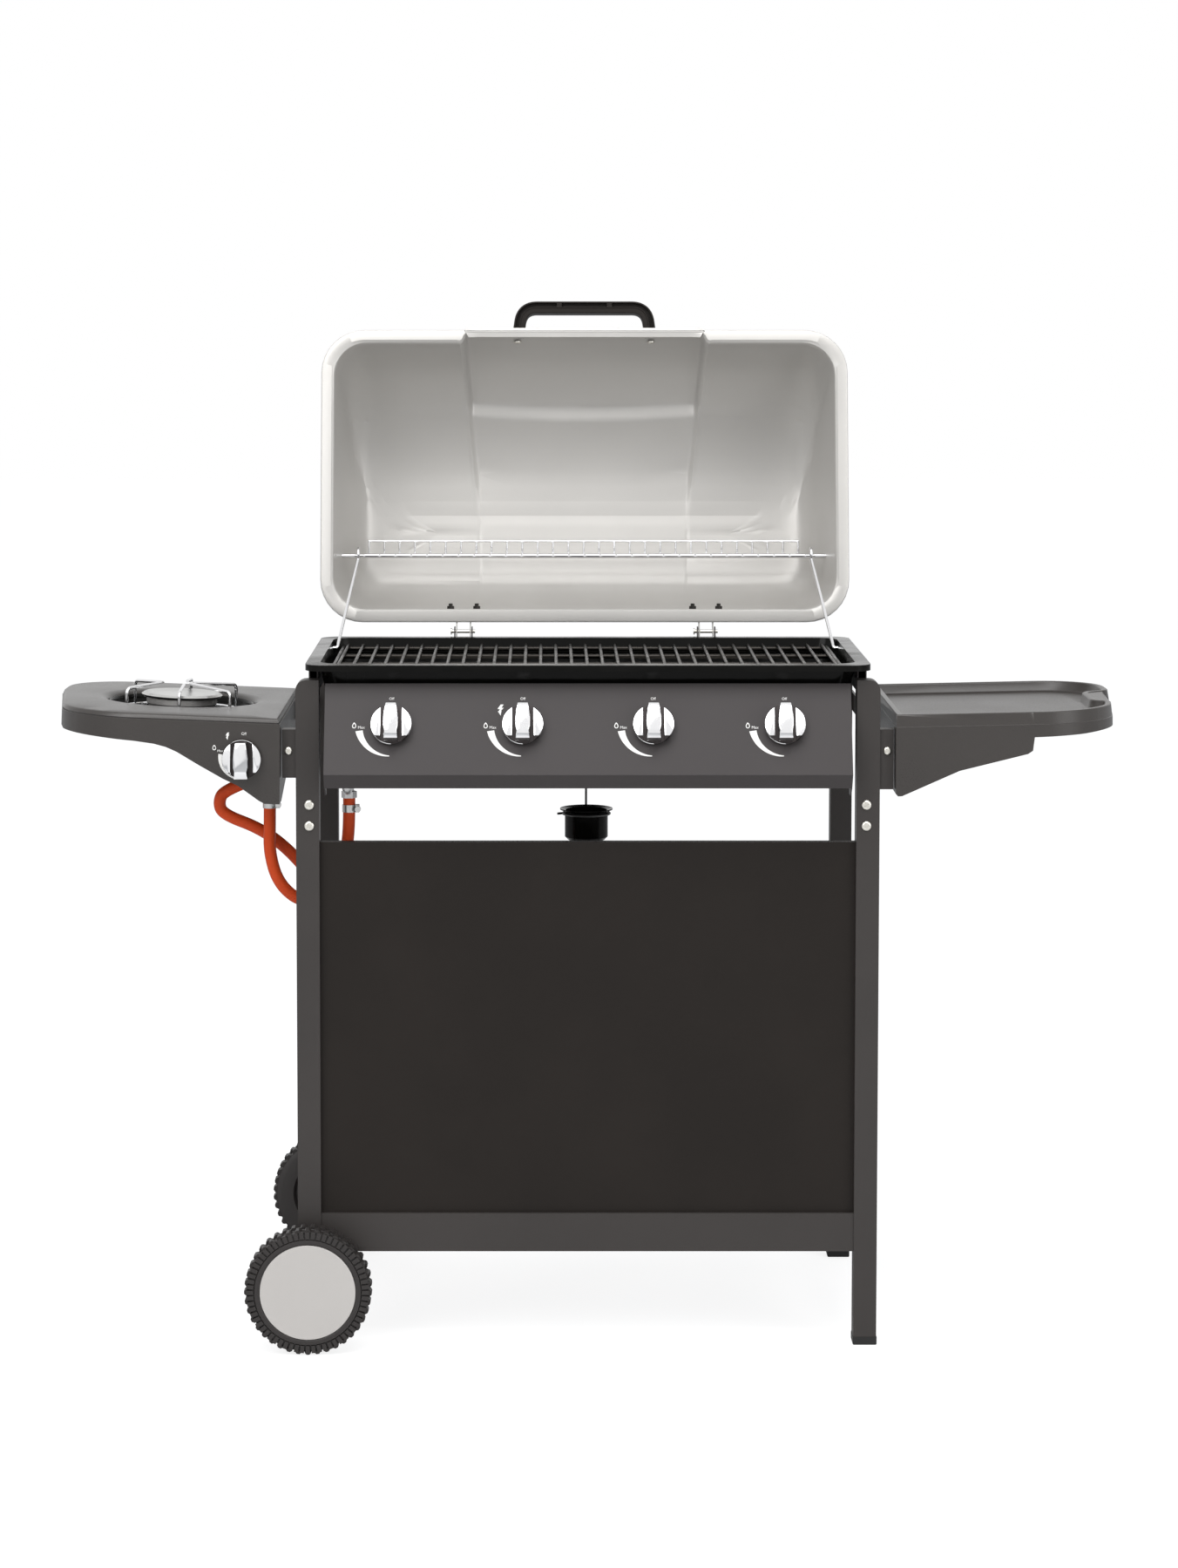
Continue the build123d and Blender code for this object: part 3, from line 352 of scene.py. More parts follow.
def make_finishes():
    """Every finish of the grill by the name of its slot, each row with its maker and what the maker gets."""
    table = (
        ("frame_paint", frame_paint),
        ("panel_sheet", panel_sheet),
        ("control_paint", control_paint),
        ("enamel", enamel),
        ("zinc", bright_metal, (0.74, 0.72, 0.66), 0.32, 700.0),
        ("foot_plastic", moulded, (0.012, 0.012, 0.012), 0.55, 900.0, 0.00004),
        ("wheel_plastic", moulded, (0.024, 0.021, 0.02), 0.46, 700.0, 0.00005),
        ("hub_disc", coated, (0.47, 0.45, 0.43), 0.4, 1500.0, 0.00004, 1.08),
        ("grate_steel", bright_metal, (0.036, 0.033, 0.03), 0.3, 1100.0, 0.16, 0.00006),
        ("burner_steel", brushed_steel, (0.5, 0.49, 0.47), 0.36, (30.0, 900.0, 900.0)),
        ("brass_parts", bright_metal, (0.66, 0.49, 0.22), 0.34, 800.0),
        ("gas_pipe", bright_metal, (0.5, 0.5, 0.5), 0.38, 800.0),
        ("chrome", bright_metal, (0.78, 0.78, 0.79), 0.12, 1200.0, 0.06, 0.00001, 0.92),
        ("lid_paint", lid_paint),
        ("handle_plastic", moulded, (0.014, 0.0115, 0.01), 0.5, 900.0, 0.00003, 1.3, 0.14),
        ("shelf_plastic", moulded, (0.03, 0.026, 0.0235), 0.3, 620.0, 0.00004, 1.2, 0.5),
        ("burner_cast", bright_metal, (0.42, 0.41, 0.4), 0.5, 500.0, 0.16, 0.00018),
        ("cap_steel", brushed_steel, (0.62, 0.62, 0.61), 0.3, (40.0, 1200.0, 1200.0)),
        ("wire_black", bright_metal, (0.1, 0.1, 0.1), 0.42, 900.0),
        ("hose_rubber", hose_rubber),
        ("nut_black", bright_metal, (0.03, 0.028, 0.026), 0.42, 900.0),
        ("clamp_steel", bright_metal, (0.6, 0.6, 0.59), 0.28, 800.0),
        # The knobs' chrome, with painted shade on their grooves, base and lower faces.
        ("knob_chrome", knob_chrome),
        ("mark_white", coated, (0.78, 0.77, 0.75), 0.5, 1800.0, 0.00002, 1.06),
        ("regulator_alloy", bright_metal, (0.33, 0.33, 0.34), 0.46, 600.0, 0.14, 0.0001),
    )
    return {name: maker(name, *values) for name, maker, *values in table}


def dress_nodes(finishes):
    """Give every carried over solid the finish of its slot."""
    slots = {part["node"]: part["material_slot"] for part in frame["record"]["subparts"]}
    for name, node in frame["nodes"].items():
        node.data.materials.clear()
        node.data.materials.append(finishes[slots[name]])


# ---- making helpers


def finished(bm, name, body, finishes, slot, replaced=(), sharp=38.0, finish=None):
    """Turn a mesh in millimetres into a piece that rides on a body and stands for its solids."""
    if body == "lid":
        swing_open(bm)
    to_metres(bm)
    bm.normal_update()
    for face in bm.faces:
        face.smooth = True
    for edge in bm.edges:
        edge.smooth = len(edge.link_faces) != 2 or edge.calc_face_angle(0.0) < math.radians(sharp)
    mesh = bpy.data.meshes.new(name)
    bm.to_mesh(mesh)
    bm.free()
    piece = new_object(name, mesh)
    mesh.materials.append(finishes[finish or slot])
    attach(piece, body)
    if replaced:
        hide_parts(*replaced)
    return piece


def thicken(piece, millimetres):
    """Give a skin its wall, on the inner side."""
    wall = piece.modifiers.new("wall", "SOLIDIFY")
    wall.thickness = millimetres / 1000
    wall.offset = -1.0
    wall.use_even_offset = True
    wall.thickness_clamp = 1.0


def soften(piece, millimetres):
    """Round the edges of a piece a little."""
    edge = piece.modifiers.new("soft edges", "BEVEL")
    edge.width = millimetres / 1000
    edge.segments = 2
    edge.limit_method = "ANGLE"
    edge.angle_limit = math.radians(38.0)
    edge.harden_normals = True


# ---- gas hoses

HOSE_RADIUS = 0.0075
# The ends of each route are its fittings, and the places between them guide the curve
SIDE_ROUTE = ((-388, 48, 672), (-388, 48, 636), (-389, 48, 600), (-378, 48, 562), (-350, 49, 538),
              (-316, 49, 545), (-298, 48, 575), (-294, 48, 606), (-291, 48, 636), (-291, 48, 668))
SUPPLY_ROUTE = ((-412, 74, 686), (-445.8, 74, 673.8), (-452.9, 74, 659.2), (-447.9, 74, 643.8),
                (-401, 75, 626), (-365, 77, 598), (-331, 80, 556), (-306, 82, 508), (-296, 84, 462),
                (-292, 85, 415), (-292, 85, 372))


def make_hose(name, node, route, material):
    """A rubber hose along its route, riding on the trolley."""
    curve = bpy.data.curves.new(name, "CURVE")
    curve.dimensions = "3D"
    curve.bevel_depth = HOSE_RADIUS
    curve.bevel_resolution = 6
    curve.resolution_u = 10
    curve.use_fill_caps = True
    spline = curve.splines.new("NURBS")
    spline.points.add(len(route) - 1)
    for point, place in zip(spline.points, route):
        point.co = (*at(*place), 1.0)
    spline.order_u = 3
    spline.use_endpoint_u = True
    hose = new_object(name, curve)
    curve.materials.append(material)
    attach(hose, "trolley")
    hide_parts(node)


def make_hoses(finishes):
    """The side burner's hose and the supply hose."""
    make_hose("side_burner_hose", "hose_side", SIDE_ROUTE, finishes["hose_rubber"])
    make_hose("supply_hose", "hose_supply", SUPPLY_ROUTE, finishes["hose_rubber"])


# ---- solids of revolution, prisms and cuts


def added(bm, old):
    """The points of a mesh that are not in an older set."""
    return [vert for vert in bm.verts if vert not in old]


def edges_at(verts):
    """Every edge that touches some points."""
    return list({edge for vert in verts for edge in vert.link_edges})


def shift_up(bm, made, up):
    """Move the points among some newly made elements straight up."""
    verts = [item for item in made if isinstance(item, bmesh.types.BMVert)]
    bmesh.ops.translate(bm, vec=(0.0, 0.0, up), verts=verts)


def lathe(bm, profile, segments):
    """Spin a profile of (radius, height) round the upright axis; gives the new points."""
    old = set(bm.verts)
    row = [bm.verts.new((radius, 0.0, height)) for radius, height in profile]
    line = [bm.edges.new(pair) for pair in zip(row, row[1:])]
    bmesh.ops.spin(bm, geom=row + line, cent=(0.0, 0.0, 0.0), axis=(0.0, 0.0, 1.0), angle=2 * math.pi,
                   steps=segments, use_merge=True)
    bmesh.ops.remove_doubles(bm, verts=added(bm, old), dist=0.0005)
    return close_up(bm, old)


def close_up(bm, old):
    """Turn the faces made since a set of old points outwards; gives the new points."""
    new = added(bm, old)
    bmesh.ops.recalc_face_normals(bm, faces=list({face for vert in new for face in vert.link_faces}))
    return new


def prism(bm, outline, low, high):
    """An outline of (x, y) made solid between two heights; gives the new points."""
    old = set(bm.verts)
    face = bm.faces.new([bm.verts.new((x, y, low)) for x, y in outline])
    made = bmesh.ops.extrude_face_region(bm, geom=[face], use_keep_orig=True)["geom"]
    shift_up(bm, made, high - low)
    return close_up(bm, old)


def trim(bm, verts, point, normal):
    """Cut a closed solid with a plane, drop what lies beyond it and close the cut; gives what is left."""
    faces = {face for vert in verts for face in vert.link_faces}
    edges = {edge for face in faces for edge in face.edges}
    others = set(bm.verts) - set(verts)
    made = bmesh.ops.bisect_plane(bm, geom=list(verts) + list(edges) + list(faces), dist=0.0001,
                                  plane_co=point, plane_no=normal, clear_outer=True)["geom_cut"]
    rim = [item for item in made if isinstance(item, bmesh.types.BMEdge)]
    if rim:
        bmesh.ops.contextual_create(bm, geom=rim)
    return close_up(bm, others)


def round_edges(bm, verts, amount, segments=2, angle=35.0):
    """Round the sharp edges between some points."""
    sharp = [edge for edge in edges_at(verts)
             if len(edge.link_faces) == 2 and edge.calc_face_angle(0.0) > math.radians(angle)]
    bmesh.ops.bevel(bm, geom=sharp, offset=amount, offset_type="OFFSET", segments=segments, profile=0.5,
                    affect="EDGES", material=-1, clamp_overlap=True)


def placed(bm, verts, place):
    """Move some points by a matrix."""
    bmesh.ops.transform(bm, matrix=place, verts=verts)


def rounded_path(points, radius, steps):
    """A polyline with its corners rounded to a radius."""
    points = [Vector(point) for point in points]
    path = [points[0]]
    for before, corner, after in zip(points, points[1:], points[2:]):
        back, on = (before - corner).normalized(), (after - corner).normalized()
        half = back.angle(on) / 2
        run = min(radius / math.tan(half), 0.49 * (before - corner).length, 0.49 * (after - corner).length)
        start, end = corner + back * run, corner + on * run
        for step in range(steps + 1):
            t = step / steps
            path.append((1 - t) ** 2 * start + 2 * t * (1 - t) * corner + t * t * end)
    return path + [points[-1]]


# ---- lid

# The hinge as distance from the front and height; the lid is drawn closed and then swung open
HINGE = (372.0, 842.0)
LID_SWING = 100.0
# How far a point sinks as the lid opens, for each millimetre that it was behind and above the hinge
FALL_BEHIND, FALL_ABOVE = 0.9848, 0.1736
SHEET = 1.5
LID_PLANE, LID_HALF, LID_REAR, LID_CORNER = 839.0, 345.0, 360.0, 56.0
# Height over the rim, then front, rear, half width and corner radius of the pressed dome
DOME = ((2.2, -9.6, 344.4, 329.4, 43.6), (6.0, -8.3, 343.8, 328.8, 44.0),
        (35.0, -4.0, 342.0, 327.5, 44.0), (85.0, 12.0, 338.0, 323.0, 44.0),
        (125.0, 42.0, 330.0, 317.0, 43.0), (155.0, 84.0, 316.0, 308.0, 40.0),
        (175.0, 132.0, 296.0, 295.0, 36.0), (182.0, 170.0, 274.0, 278.0, 32.0),
        (184.6, 200.0, 250.0, 250.0, 20.0), (185.2, 222.0, 228.0, 200.0, 2.0))
# The raised middle: its half width at the lid's front edge, and how much narrower it gets over a run
FRONT_EDGE = -25.0
CREASE_HALF, CREASE_LOSS, CREASE_RUN = 168.0, 28.0, 315.0
CREASE_WIDTH = 13.0
# How far it stands out over most of its height and above the ledge, and how deep its edge is pressed in
FIELD_LIFT, LEDGE_LIFT, BEAD_DEPTH = 3.4, 8.6, 3.2


def between(table, steps):
    """The rows of a table with smooth rows added between them."""
    rows = []
    for index in range(len(table) - 1):
        first, start, end, last = (table[min(max(k, 0), len(table) - 1)] for k in range(index - 1, index + 3))
        for step in range(steps):
            t = step / steps
            rows.append(tuple(0.5 * (2 * b + (c - a) * t + (2 * a - 5 * b + 4 * c - d) * t * t
                                     + (3 * b - a - 3 * c + d) * t ** 3)
                              for a, b, c, d in zip(first, start, end, last)))
    rows.append(table[-1])
    return rows


def round_corners(bm, verts, run, segments):
    """Round the flat corners at some points."""
    bmesh.ops.bevel(bm, geom=verts, offset=run, offset_type="OFFSET", segments=segments, profile=0.5,
                    affect="VERTICES", material=-1)


def rounded_loop(bm, x0, x1, y0, y1, corner, z):
    """A rounded rectangle of edges at one height; gives its edges."""
    verts = bmesh.ops.create_grid(bm, x_segments=1, y_segments=1, size=0.5)["verts"]
    bmesh.ops.scale(bm, vec=(x1 - x0, y1 - y0, 1.0), verts=verts)
    bmesh.ops.translate(bm, vec=((x0 + x1) / 2, (y0 + y1) / 2, z), verts=verts)
    old = set(bm.faces) - set(verts[0].link_faces)
    round_corners(bm, verts, corner, 8)
    plate = [face for face in bm.faces if face not in old]
    edges = [edge for face in plate for edge in face.edges]
    bmesh.ops.delete(bm, geom=plate, context="FACES_ONLY")
    return edges


def skin(bm, loops):
    """Join loops of edges one after another with faces."""
    for first, second in zip(loops, loops[1:]):
        bmesh.ops.bridge_loops(bm, edges=first + second)


def face_outwards(bm, way):
    """Point an open skin's faces one way, judged by the face furthest along it."""
    bmesh.ops.recalc_face_normals(bm, faces=bm.faces)
    furthest = max(bm.faces, key=lambda face: face.calc_center_median().dot(way))
    if furthest.normal.dot(way) < 0.0:
        bmesh.ops.reverse_faces(bm, faces=bm.faces)


def to_metres(bm):
    """Move a mesh drawn in millimetres to its place in metres."""
    bmesh.ops.scale(bm, vec=(0.001, 0.001, 0.001), verts=bm.verts)
    bmesh.ops.translate(bm, vec=(MIDDLE, FRONT, 0.0), verts=bm.verts)


def swing_open(bm):
    """Turn what is drawn on the closed lid to the open pose, still in millimetres."""
    turn = Matrix.Rotation(math.radians(-LID_SWING), 3, "X")
    bmesh.ops.rotate(bm, cent=(0.0, *HINGE), matrix=turn, verts=bm.verts)


def cut(bm, point, normal):
    """Cut every face along a plane."""
    bmesh.ops.bisect_plane(bm, geom=bm.verts[:] + bm.edges[:] + bm.faces[:], dist=0.001, plane_co=point,
                           plane_no=normal)


def crease_x(y):
    """Half width of the raised middle at a distance from the front."""
    return CREASE_HALF - CREASE_LOSS * (y - FRONT_EDGE) / CREASE_RUN


def ramp(value, low, high):
    """How far a value has come from low to high, smoothed, between nought and one."""
    t = min(1.0, max(0.0, (value - low) / (high - low)))
    return t * t * (3.0 - 2.0 * t)


def hang(vert):
    """The height of a point of the closed lid once the lid is open."""
    return HINGE[1] - FALL_BEHIND * (vert.co.y - HINGE[0]) - FALL_ABOVE * (vert.co.z - HINGE[1])


def raise_middle(bm):
    """Press the middle of the dome outwards, most of all above a ledge, fading towards the hinge."""
    for shift in (0.0, 2.6, 5.2, 7.8, 10.4, CREASE_WIDTH):
        for side in (-1, 1):
            cut(bm, (side * (crease_x(0) - shift), 0.0, 0.0), (side * 1.0, CREASE_LOSS / CREASE_RUN, 0.0))
    for x in (-140.0, -105.0, -70.0, -35.0, 0.0, 35.0, 70.0, 105.0, 140.0):
        cut(bm, (x, 0.0, 0.0), (1.0, 0.0, 0.0))
    for level in (*range(940, 1061, 20), *range(1105, 1134, 4)):
        cut(bm, (0.0, HINGE[0] - (level - HINGE[1]) / FALL_BEHIND, HINGE[1]), (0.0, FALL_BEHIND, FALL_ABOVE))
    bm.normal_update()
    moves = []
    for vert in bm.verts:
        x, y, height = vert.co.x, vert.co.y, vert.co.z - LID_PLANE
        inside = ramp(crease_x(y) - abs(x), 0.2, CREASE_WIDTH)
        level = hang(vert)
        if inside == 0.0 or level < 942.0 or y < -20.0 or height < 1.0:
            continue
        ledge = 1121.0 - 6.0 * (1.0 - (x / 150.0) ** 2)
        lift = FIELD_LIFT * ramp(level, 942.0, 1040.0) + LEDGE_LIFT * ramp(level, ledge - 8.5, ledge + 8.5)
        bead = BEAD_DEPTH * max(0.0, 1.0 - abs(crease_x(y) - abs(x) - 5.2) / 5.2) * ramp(level, 965.0, 1060.0)
        way = Vector((0.0, vert.normal.y, vert.normal.z)) if height > 12.0 else Vector((0.0, -1.0, 0.0))
        moves.append((vert, way.normalized() * (lift * inside - bead)))
    for vert, move in moves:
        vert.co += move


def make_lid_shell(finishes):
    """The pressed steel lid: dome, raised middle, flange and rolled edge."""
    bm = bmesh.new()
    loops = []
    for inset, height in ((1.5, 5.0), (1.5, 2.9), (1.9, 1.9), (2.9, 1.5), (13.5, 1.5)):
        half, front, rear, corner = LID_HALF - inset, FRONT_EDGE + inset, LID_REAR - inset, LID_CORNER - inset
        loops.append(rounded_loop(bm, -half, half, front, rear, corner, LID_PLANE + height))
    for height, front, rear, half, corner in between(DOME, 3):
        loops.append(rounded_loop(bm, -half, half, front, rear, corner, LID_PLANE + height))
    skin(bm, loops)
    bmesh.ops.contextual_create(bm, geom=loops[-1])
    bmesh.ops.remove_doubles(bm, verts=bm.verts, dist=0.01)
    face_outwards(bm, Vector((0.0, 0.0, 1.0)))
    raise_middle(bm)
    lid = finished(bm, "lid_skin", "lid", finishes, "lid_paint", ["lid_shell"])
    thicken(lid, SHEET)
    soften(lid, 0.4)


# ---- side shelf and tray

SHELF_INNER = 371.0
# Plan of both shelves: inner front, outer front, outer side, outer rear, inner rear
SHELF_PLAN = ((SHELF_INNER, -10.0), (634.0, -10.0), (663.0, 230.0), (661.0, 345.0), (SHELF_INNER, 345.0))
# Which of its corners are rounded, and the run that each takes
SHELF_CORNERS = ((1, 86.9), (3, 83.5))
LEFT_TOP, LEFT_TILT = 771.0, 2.3
RIGHT_TOP, RIGHT_TILT = 776.0, 1.2
# Lower edge of each front apron, as distance from the middle and height
LEFT_APRON = ((SHELF_INNER, 667.6), (389.0, 667.6), (396.0, 671.0), (421.0, 689.5), (440.0, 698.5),
              (468.0, 714.5), (495.0, 731.0), (508.0, 737.0), (522.0, 741.0), (548.0, 744.8), (590.0, 748.6),
              (640.0, 752.5))
RIGHT_APRON = ((SHELF_INNER, 680.0), (373.5, 677.2), (378.5, 677.2), (447.5, 708.0), (530.0, 728.4),
               (536.0, 731.5), (538.0, 736.0), (538.4, 749.0), (600.0, 751.5), (640.0, 754.5))
# Height of the inner skirt's rear end, how far back the aprons reach and the run of the skirt behind them
PLATE_REAR, APRON_BACK, PLATE_RUN = 735.0, 24.0, 321.0
BURNER = Vector((-507.0, 180.0))


def plan_face(bm, side, corners, rounded, z):
    """A flat face of a plan with some corners rounded, each given by its place and the run it takes."""
    verts = [bm.verts.new((side * x, y, z)) for x, y in corners]
    face = bm.faces.new(verts if side > 0 else verts[::-1])
    known = set(bm.faces) - {face}
    for index, run in rounded:
        round_corners(bm, [verts[index]], run, 14)
    return next(face for face in bm.faces if face not in known)


def step_in(bm, face, steps):
    """Draw a face in and raise it, step by step, each as (inwards, up)."""
    for inwards, up in steps:
        bmesh.ops.inset_region(bm, faces=[face], thickness=inwards, depth=0.0, use_even_offset=True,
                               use_boundary=True)
        bmesh.ops.translate(bm, vec=(0.0, 0.0, up), verts=face.verts)
    return face


def drop_skirt(bm, edges, depth):
    """Pull some edges of a skin straight down by a depth."""
    shift_up(bm, bmesh.ops.extrude_edge_only(bm, edges=edges)["geom"], -depth)


def along_table(table, x):
    """The height that a table gives at a distance, straight between its rows."""
    for (x0, z0), (x1, z1) in zip(table, table[1:]):
        if x <= x1:
            return z0 + (z1 - z0) * max(0.0, x - x0) / (x1 - x0)
    return table[-1][1]


def shape_apron(bm, low_before, apron):
    """Lower the skirt to the apron in front, and along the inner end to a line that rises to the rear."""
    for vert in (vert for vert in bm.verts if vert.is_boundary and vert.co.z < low_before):
        x, y = abs(vert.co.x), vert.co.y
        if x < SHELF_INNER + 1.5:
            vert.co.z = apron[0][1] + (PLATE_REAR - apron[0][1]) * max(0.0, (y - APRON_BACK) / PLATE_RUN)
        elif y < 60.0:
            vert.co.z = min(vert.co.z, along_table(apron, x))


def tilt_shelf(bm, side, top, degrees):
    """Lift the outer end of a shelf about its inner edge."""
    turn = Matrix.Rotation(math.radians(-side * degrees), 3, "Y")
    bmesh.ops.rotate(bm, cent=(side * SHELF_INNER, 0.0, top), matrix=turn, verts=bm.verts)


def finish_shelf(bm, name, side, top, degrees, apron, finishes, node):
    """Tilt the skin, shape its apron and give it its wall."""
    for x, _ in apron[1:-1]:
        cut(bm, (side * x, 0.0, 0.0), (1.0, 0.0, 0.0))
    cut(bm, (0.0, APRON_BACK, 0.0), (0.0, 1.0, 0.0))
    tilt_shelf(bm, side, top, degrees)
    shape_apron(bm, top - 9.0, apron)
    shelf = finished(bm, name, "trolley", finishes, "shelf_plastic", [node])
    thicken(shelf, 2.8)
    soften(shelf, 0.5)


def make_side_shelf(finishes):
    """The moulded shelf with a stepped edge and a round recess for the side burner."""
    bm = bmesh.new()
    top = plan_face(bm, -1, SHELF_PLAN, SHELF_CORNERS, LEFT_TOP - 6.8)
    top = step_in(bm, top, ((0.3, 0.3), (1.8, 0.0), (0.1, 1.3), (-1.0, 0.2), (1.5, 3.4), (0.6, 0.8),
                            (1.5, 0.8)))
    rim = list(top.edges)
    bmesh.ops.delete(bm, geom=[top], context="FACES_ONLY")
    loops = []
    for radius, drop in ((104.0, 0.0), (100.0, 0.4), (95.5, 1.9), (92.8, 4.2), (91.6, 7.5), (91.0, 14.0)):
        ring = bmesh.ops.create_circle(bm, cap_ends=False, segments=72, radius=radius)["verts"]
        bmesh.ops.translate(bm, vec=(*BURNER, LEFT_TOP - drop), verts=ring)
        loops.append(edges_at(ring))
    bmesh.ops.triangle_fill(bm, use_beauty=True, edges=rim + loops[0])
    outer = [edge for edge in bm.edges
             if edge.is_boundary and max(vert.co.z for vert in edge.verts) < LEFT_TOP - 6.5
             and (edge.verts[0].co.xy - BURNER).length > 110.0]
    drop_skirt(bm, outer, 20.2)
    skin(bm, loops)
    face_outwards(bm, Vector((0.0, 0.0, 1.0)))
    finish_shelf(bm, "side_shelf", -1, LEFT_TOP, LEFT_TILT, LEFT_APRON, finishes, "shelf_left")


def make_tray(finishes):
    """The tray shelf: a proud skirt, a rim with a hand notch at its outer end and a sunk floor."""
    bm = bmesh.new()
    low = plan_face(bm, 1, SHELF_PLAN, SHELF_CORNERS, RIGHT_TOP - 15.2)
    low = step_in(bm, low, ((0.6, 0.6),))
    ledge = list(low.edges)
    bmesh.ops.delete(bm, geom=[low], context="FACES_ONLY")
    rim_plan = ((371.9, -8.4), (632.6, -8.4), (645.4, 97.0), (629.5, 112.0), (631.0, 200.0), (657.0, 214.0),
                (660.9, 231.0), (659.8, 343.6), (371.9, 343.6))
    face = plan_face(bm, 1, rim_plan, ((1, 84.0), (2, 7.0), (3, 9.0), (4, 9.0), (5, 8.0), (7, 82.0)),
                     RIGHT_TOP - 14.6)
    foot = list(face.edges)
    face = step_in(bm, face, ((0.25, 13.6), (0.5, 0.8), (0.8, 0.3), (4.6, 0.0), (0.9, -0.5), (0.6, -1.2),
                              (2.2, -9.4), (1.4, -1.2), (1.8, -0.4)))
    bmesh.ops.triangle_fill(bm, use_beauty=True, edges=ledge + foot)
    drop_skirt(bm, [edge for edge in bm.edges if edge.is_boundary], 11.8)
    face_outwards(bm, Vector((0.0, 0.0, 1.0)))
    finish_shelf(bm, "tray", 1, RIGHT_TOP, RIGHT_TILT, RIGHT_APRON, finishes, "shelf_right")


# ---- knobs and their marks

PANEL_TOP, PANEL_FOLD = (0.5, 813.0), (-46.5, 708.0)
KNOB_PLACES = {"1": -236.5, "2": -78.5, "3": 78.5, "4": 236.5}
IGNITER_KNOB = "2"
KNOB_DOWN = 54.0
SIDE_KNOB = (-417.0, -10.0, 723.0)
KNOB_R, SIDE_KNOB_R = 24.5, 23.6
LOBE_INNER, LOBE_FOOT, LOBE_TALL = 12.9, 7.0, 8.0
MARK_LIFT, MARK_THICK = 0.4, 0.2
TEXT_SCALE = 1.36


def panel_place(x, down):
    """The frame of a place on the sloping control panel: across, up the panel and out of it."""
    run = Vector((0.0, PANEL_FOLD[0] - PANEL_TOP[0], PANEL_FOLD[1] - PANEL_TOP[1])).normalized()
    foot = Vector((x, *PANEL_TOP)) + run * down
    out = Vector((1.0, 0.0, 0.0)).cross(-run)
    return Matrix.Translation(foot) @ Matrix((Vector((1.0, 0.0, 0.0)), -run, out)).transposed().to_4x4()


def side_place():
    """The frame of the side burner's knob on the front apron."""
    return Matrix.Translation(SIDE_KNOB) @ Matrix.Rotation(math.radians(90.0), 4, "X")


def shape_knob(bm, radius):
    """A round base, two raised lobes and a tall grip bar, standing off the panel."""
    lathe(bm, ((0.0, 5.0), (radius - 0.8, 5.0), (radius, 5.7), (radius, 7.2), (radius - 0.5, 7.9),
               (0.0, 8.3)), 56)
    for side in (-1, 1):
        old = set(bm.verts)
        disc = bmesh.ops.create_circle(bm, cap_ends=True, segments=56, radius=radius - 0.2,
                                       matrix=Matrix.Translation((0.0, 0.0, LOBE_FOOT)))["verts"]
        geom = disc + list(disc[0].link_faces) + edges_at(disc)
        bmesh.ops.bisect_plane(bm, geom=geom, dist=0.0001, plane_co=(side * LOBE_INNER, 0.0, 0.0),
                               plane_no=(side * 1.0, 0.0, 0.0), clear_inner=True)
        face = next(face for face in bm.faces if all(vert not in old for vert in face.verts))
        made = bmesh.ops.extrude_face_region(bm, geom=[face], use_keep_orig=True)["geom"]
        shift_up(bm, made, LOBE_TALL)
        lobe = close_up(bm, old)
        lobe = trim(bm, lobe, (0.0, 20.0, 9.6), (0.0, 0.085, 0.996))
        lobe = trim(bm, lobe, (0.0, -15.2, 12.6), (0.0, -0.5, 0.866))
        round_edges(bm, lobe, 0.9)
    outline = [(6.4, 22.0), (7.6, 14.0), (8.8, 3.0), (8.7, -7.0), (7.4, -12.5), (7.7, -17.0), (8.6, -22.0)]
    bar = prism(bm, outline + [(-x, y) for x, y in reversed(outline)], LOBE_FOOT, 29.0)
    bar = trim(bm, bar, (0.0, -13.0, 29.0), (0.0, -0.42, 0.907))
    bar = trim(bm, bar, (0.0, 15.0, 29.0), (0.0, 0.3, 0.954))
    round_edges(bm, bar, 0.9, 3, 25.0)


def knob_painted_shades(bm):
    """How much painted shade every face gets: the base, the grooves and the foot of the lobes are painted
    dark, one for painted shade and nought for none.
    """
    bm.normal_update()
    bm.faces.ensure_lookup_table()
    painted_shades = []
    for face in bm.faces:
        middle, way = face.calc_center_median(), face.normal
        # Painted shade goes on the grooves between bar and lobes, on the base between the lobes and on the
        # foot of the lobes, where the knob sits in shade and reflects dark.
        groove = abs(way.x) > 0.75 and 7.0 < abs(middle.x) < 13.6 and middle.z < 21.0
        base = middle.z < 8.4 and way.z > 0.6
        foot = (abs(way.y) > 0.3 and middle.y < -12.5 and middle.z < 15.0
                and (abs(way.z) > 0.84 or middle.x > 0.0))
        painted_shades.append(1.0 if groove or base or foot else 0.0)
    return painted_shades


def make_knob(name, body, radius, place, finishes):
    """One knob on its own body, with its painted shade kept as an attribute of its faces."""
    bm = bmesh.new()
    shape_knob(bm, radius)
    painted_shades = knob_painted_shades(bm)
    placed(bm, bm.verts, place)
    knob = finished(bm, name, "knob_body_" + body, finishes, "chrome", ["knob_" + body], 30.0, "knob_chrome")
    # The face attribute carries the painted shade to the knob's finish.
    layer = knob.data.attributes.new("painted_shade", "FLOAT", "FACE")
    layer.data.foreach_set("value", painted_shades)


def make_knobs(finishes):
    """The four front knobs and the side burner's knob."""
    for name, x in KNOB_PLACES.items():
        make_knob("burner_knob_" + name, name, KNOB_R, panel_place(x, KNOB_DOWN), finishes)
    make_knob("side_burner_knob", "side", SIDE_KNOB_R, side_place(), finishes)


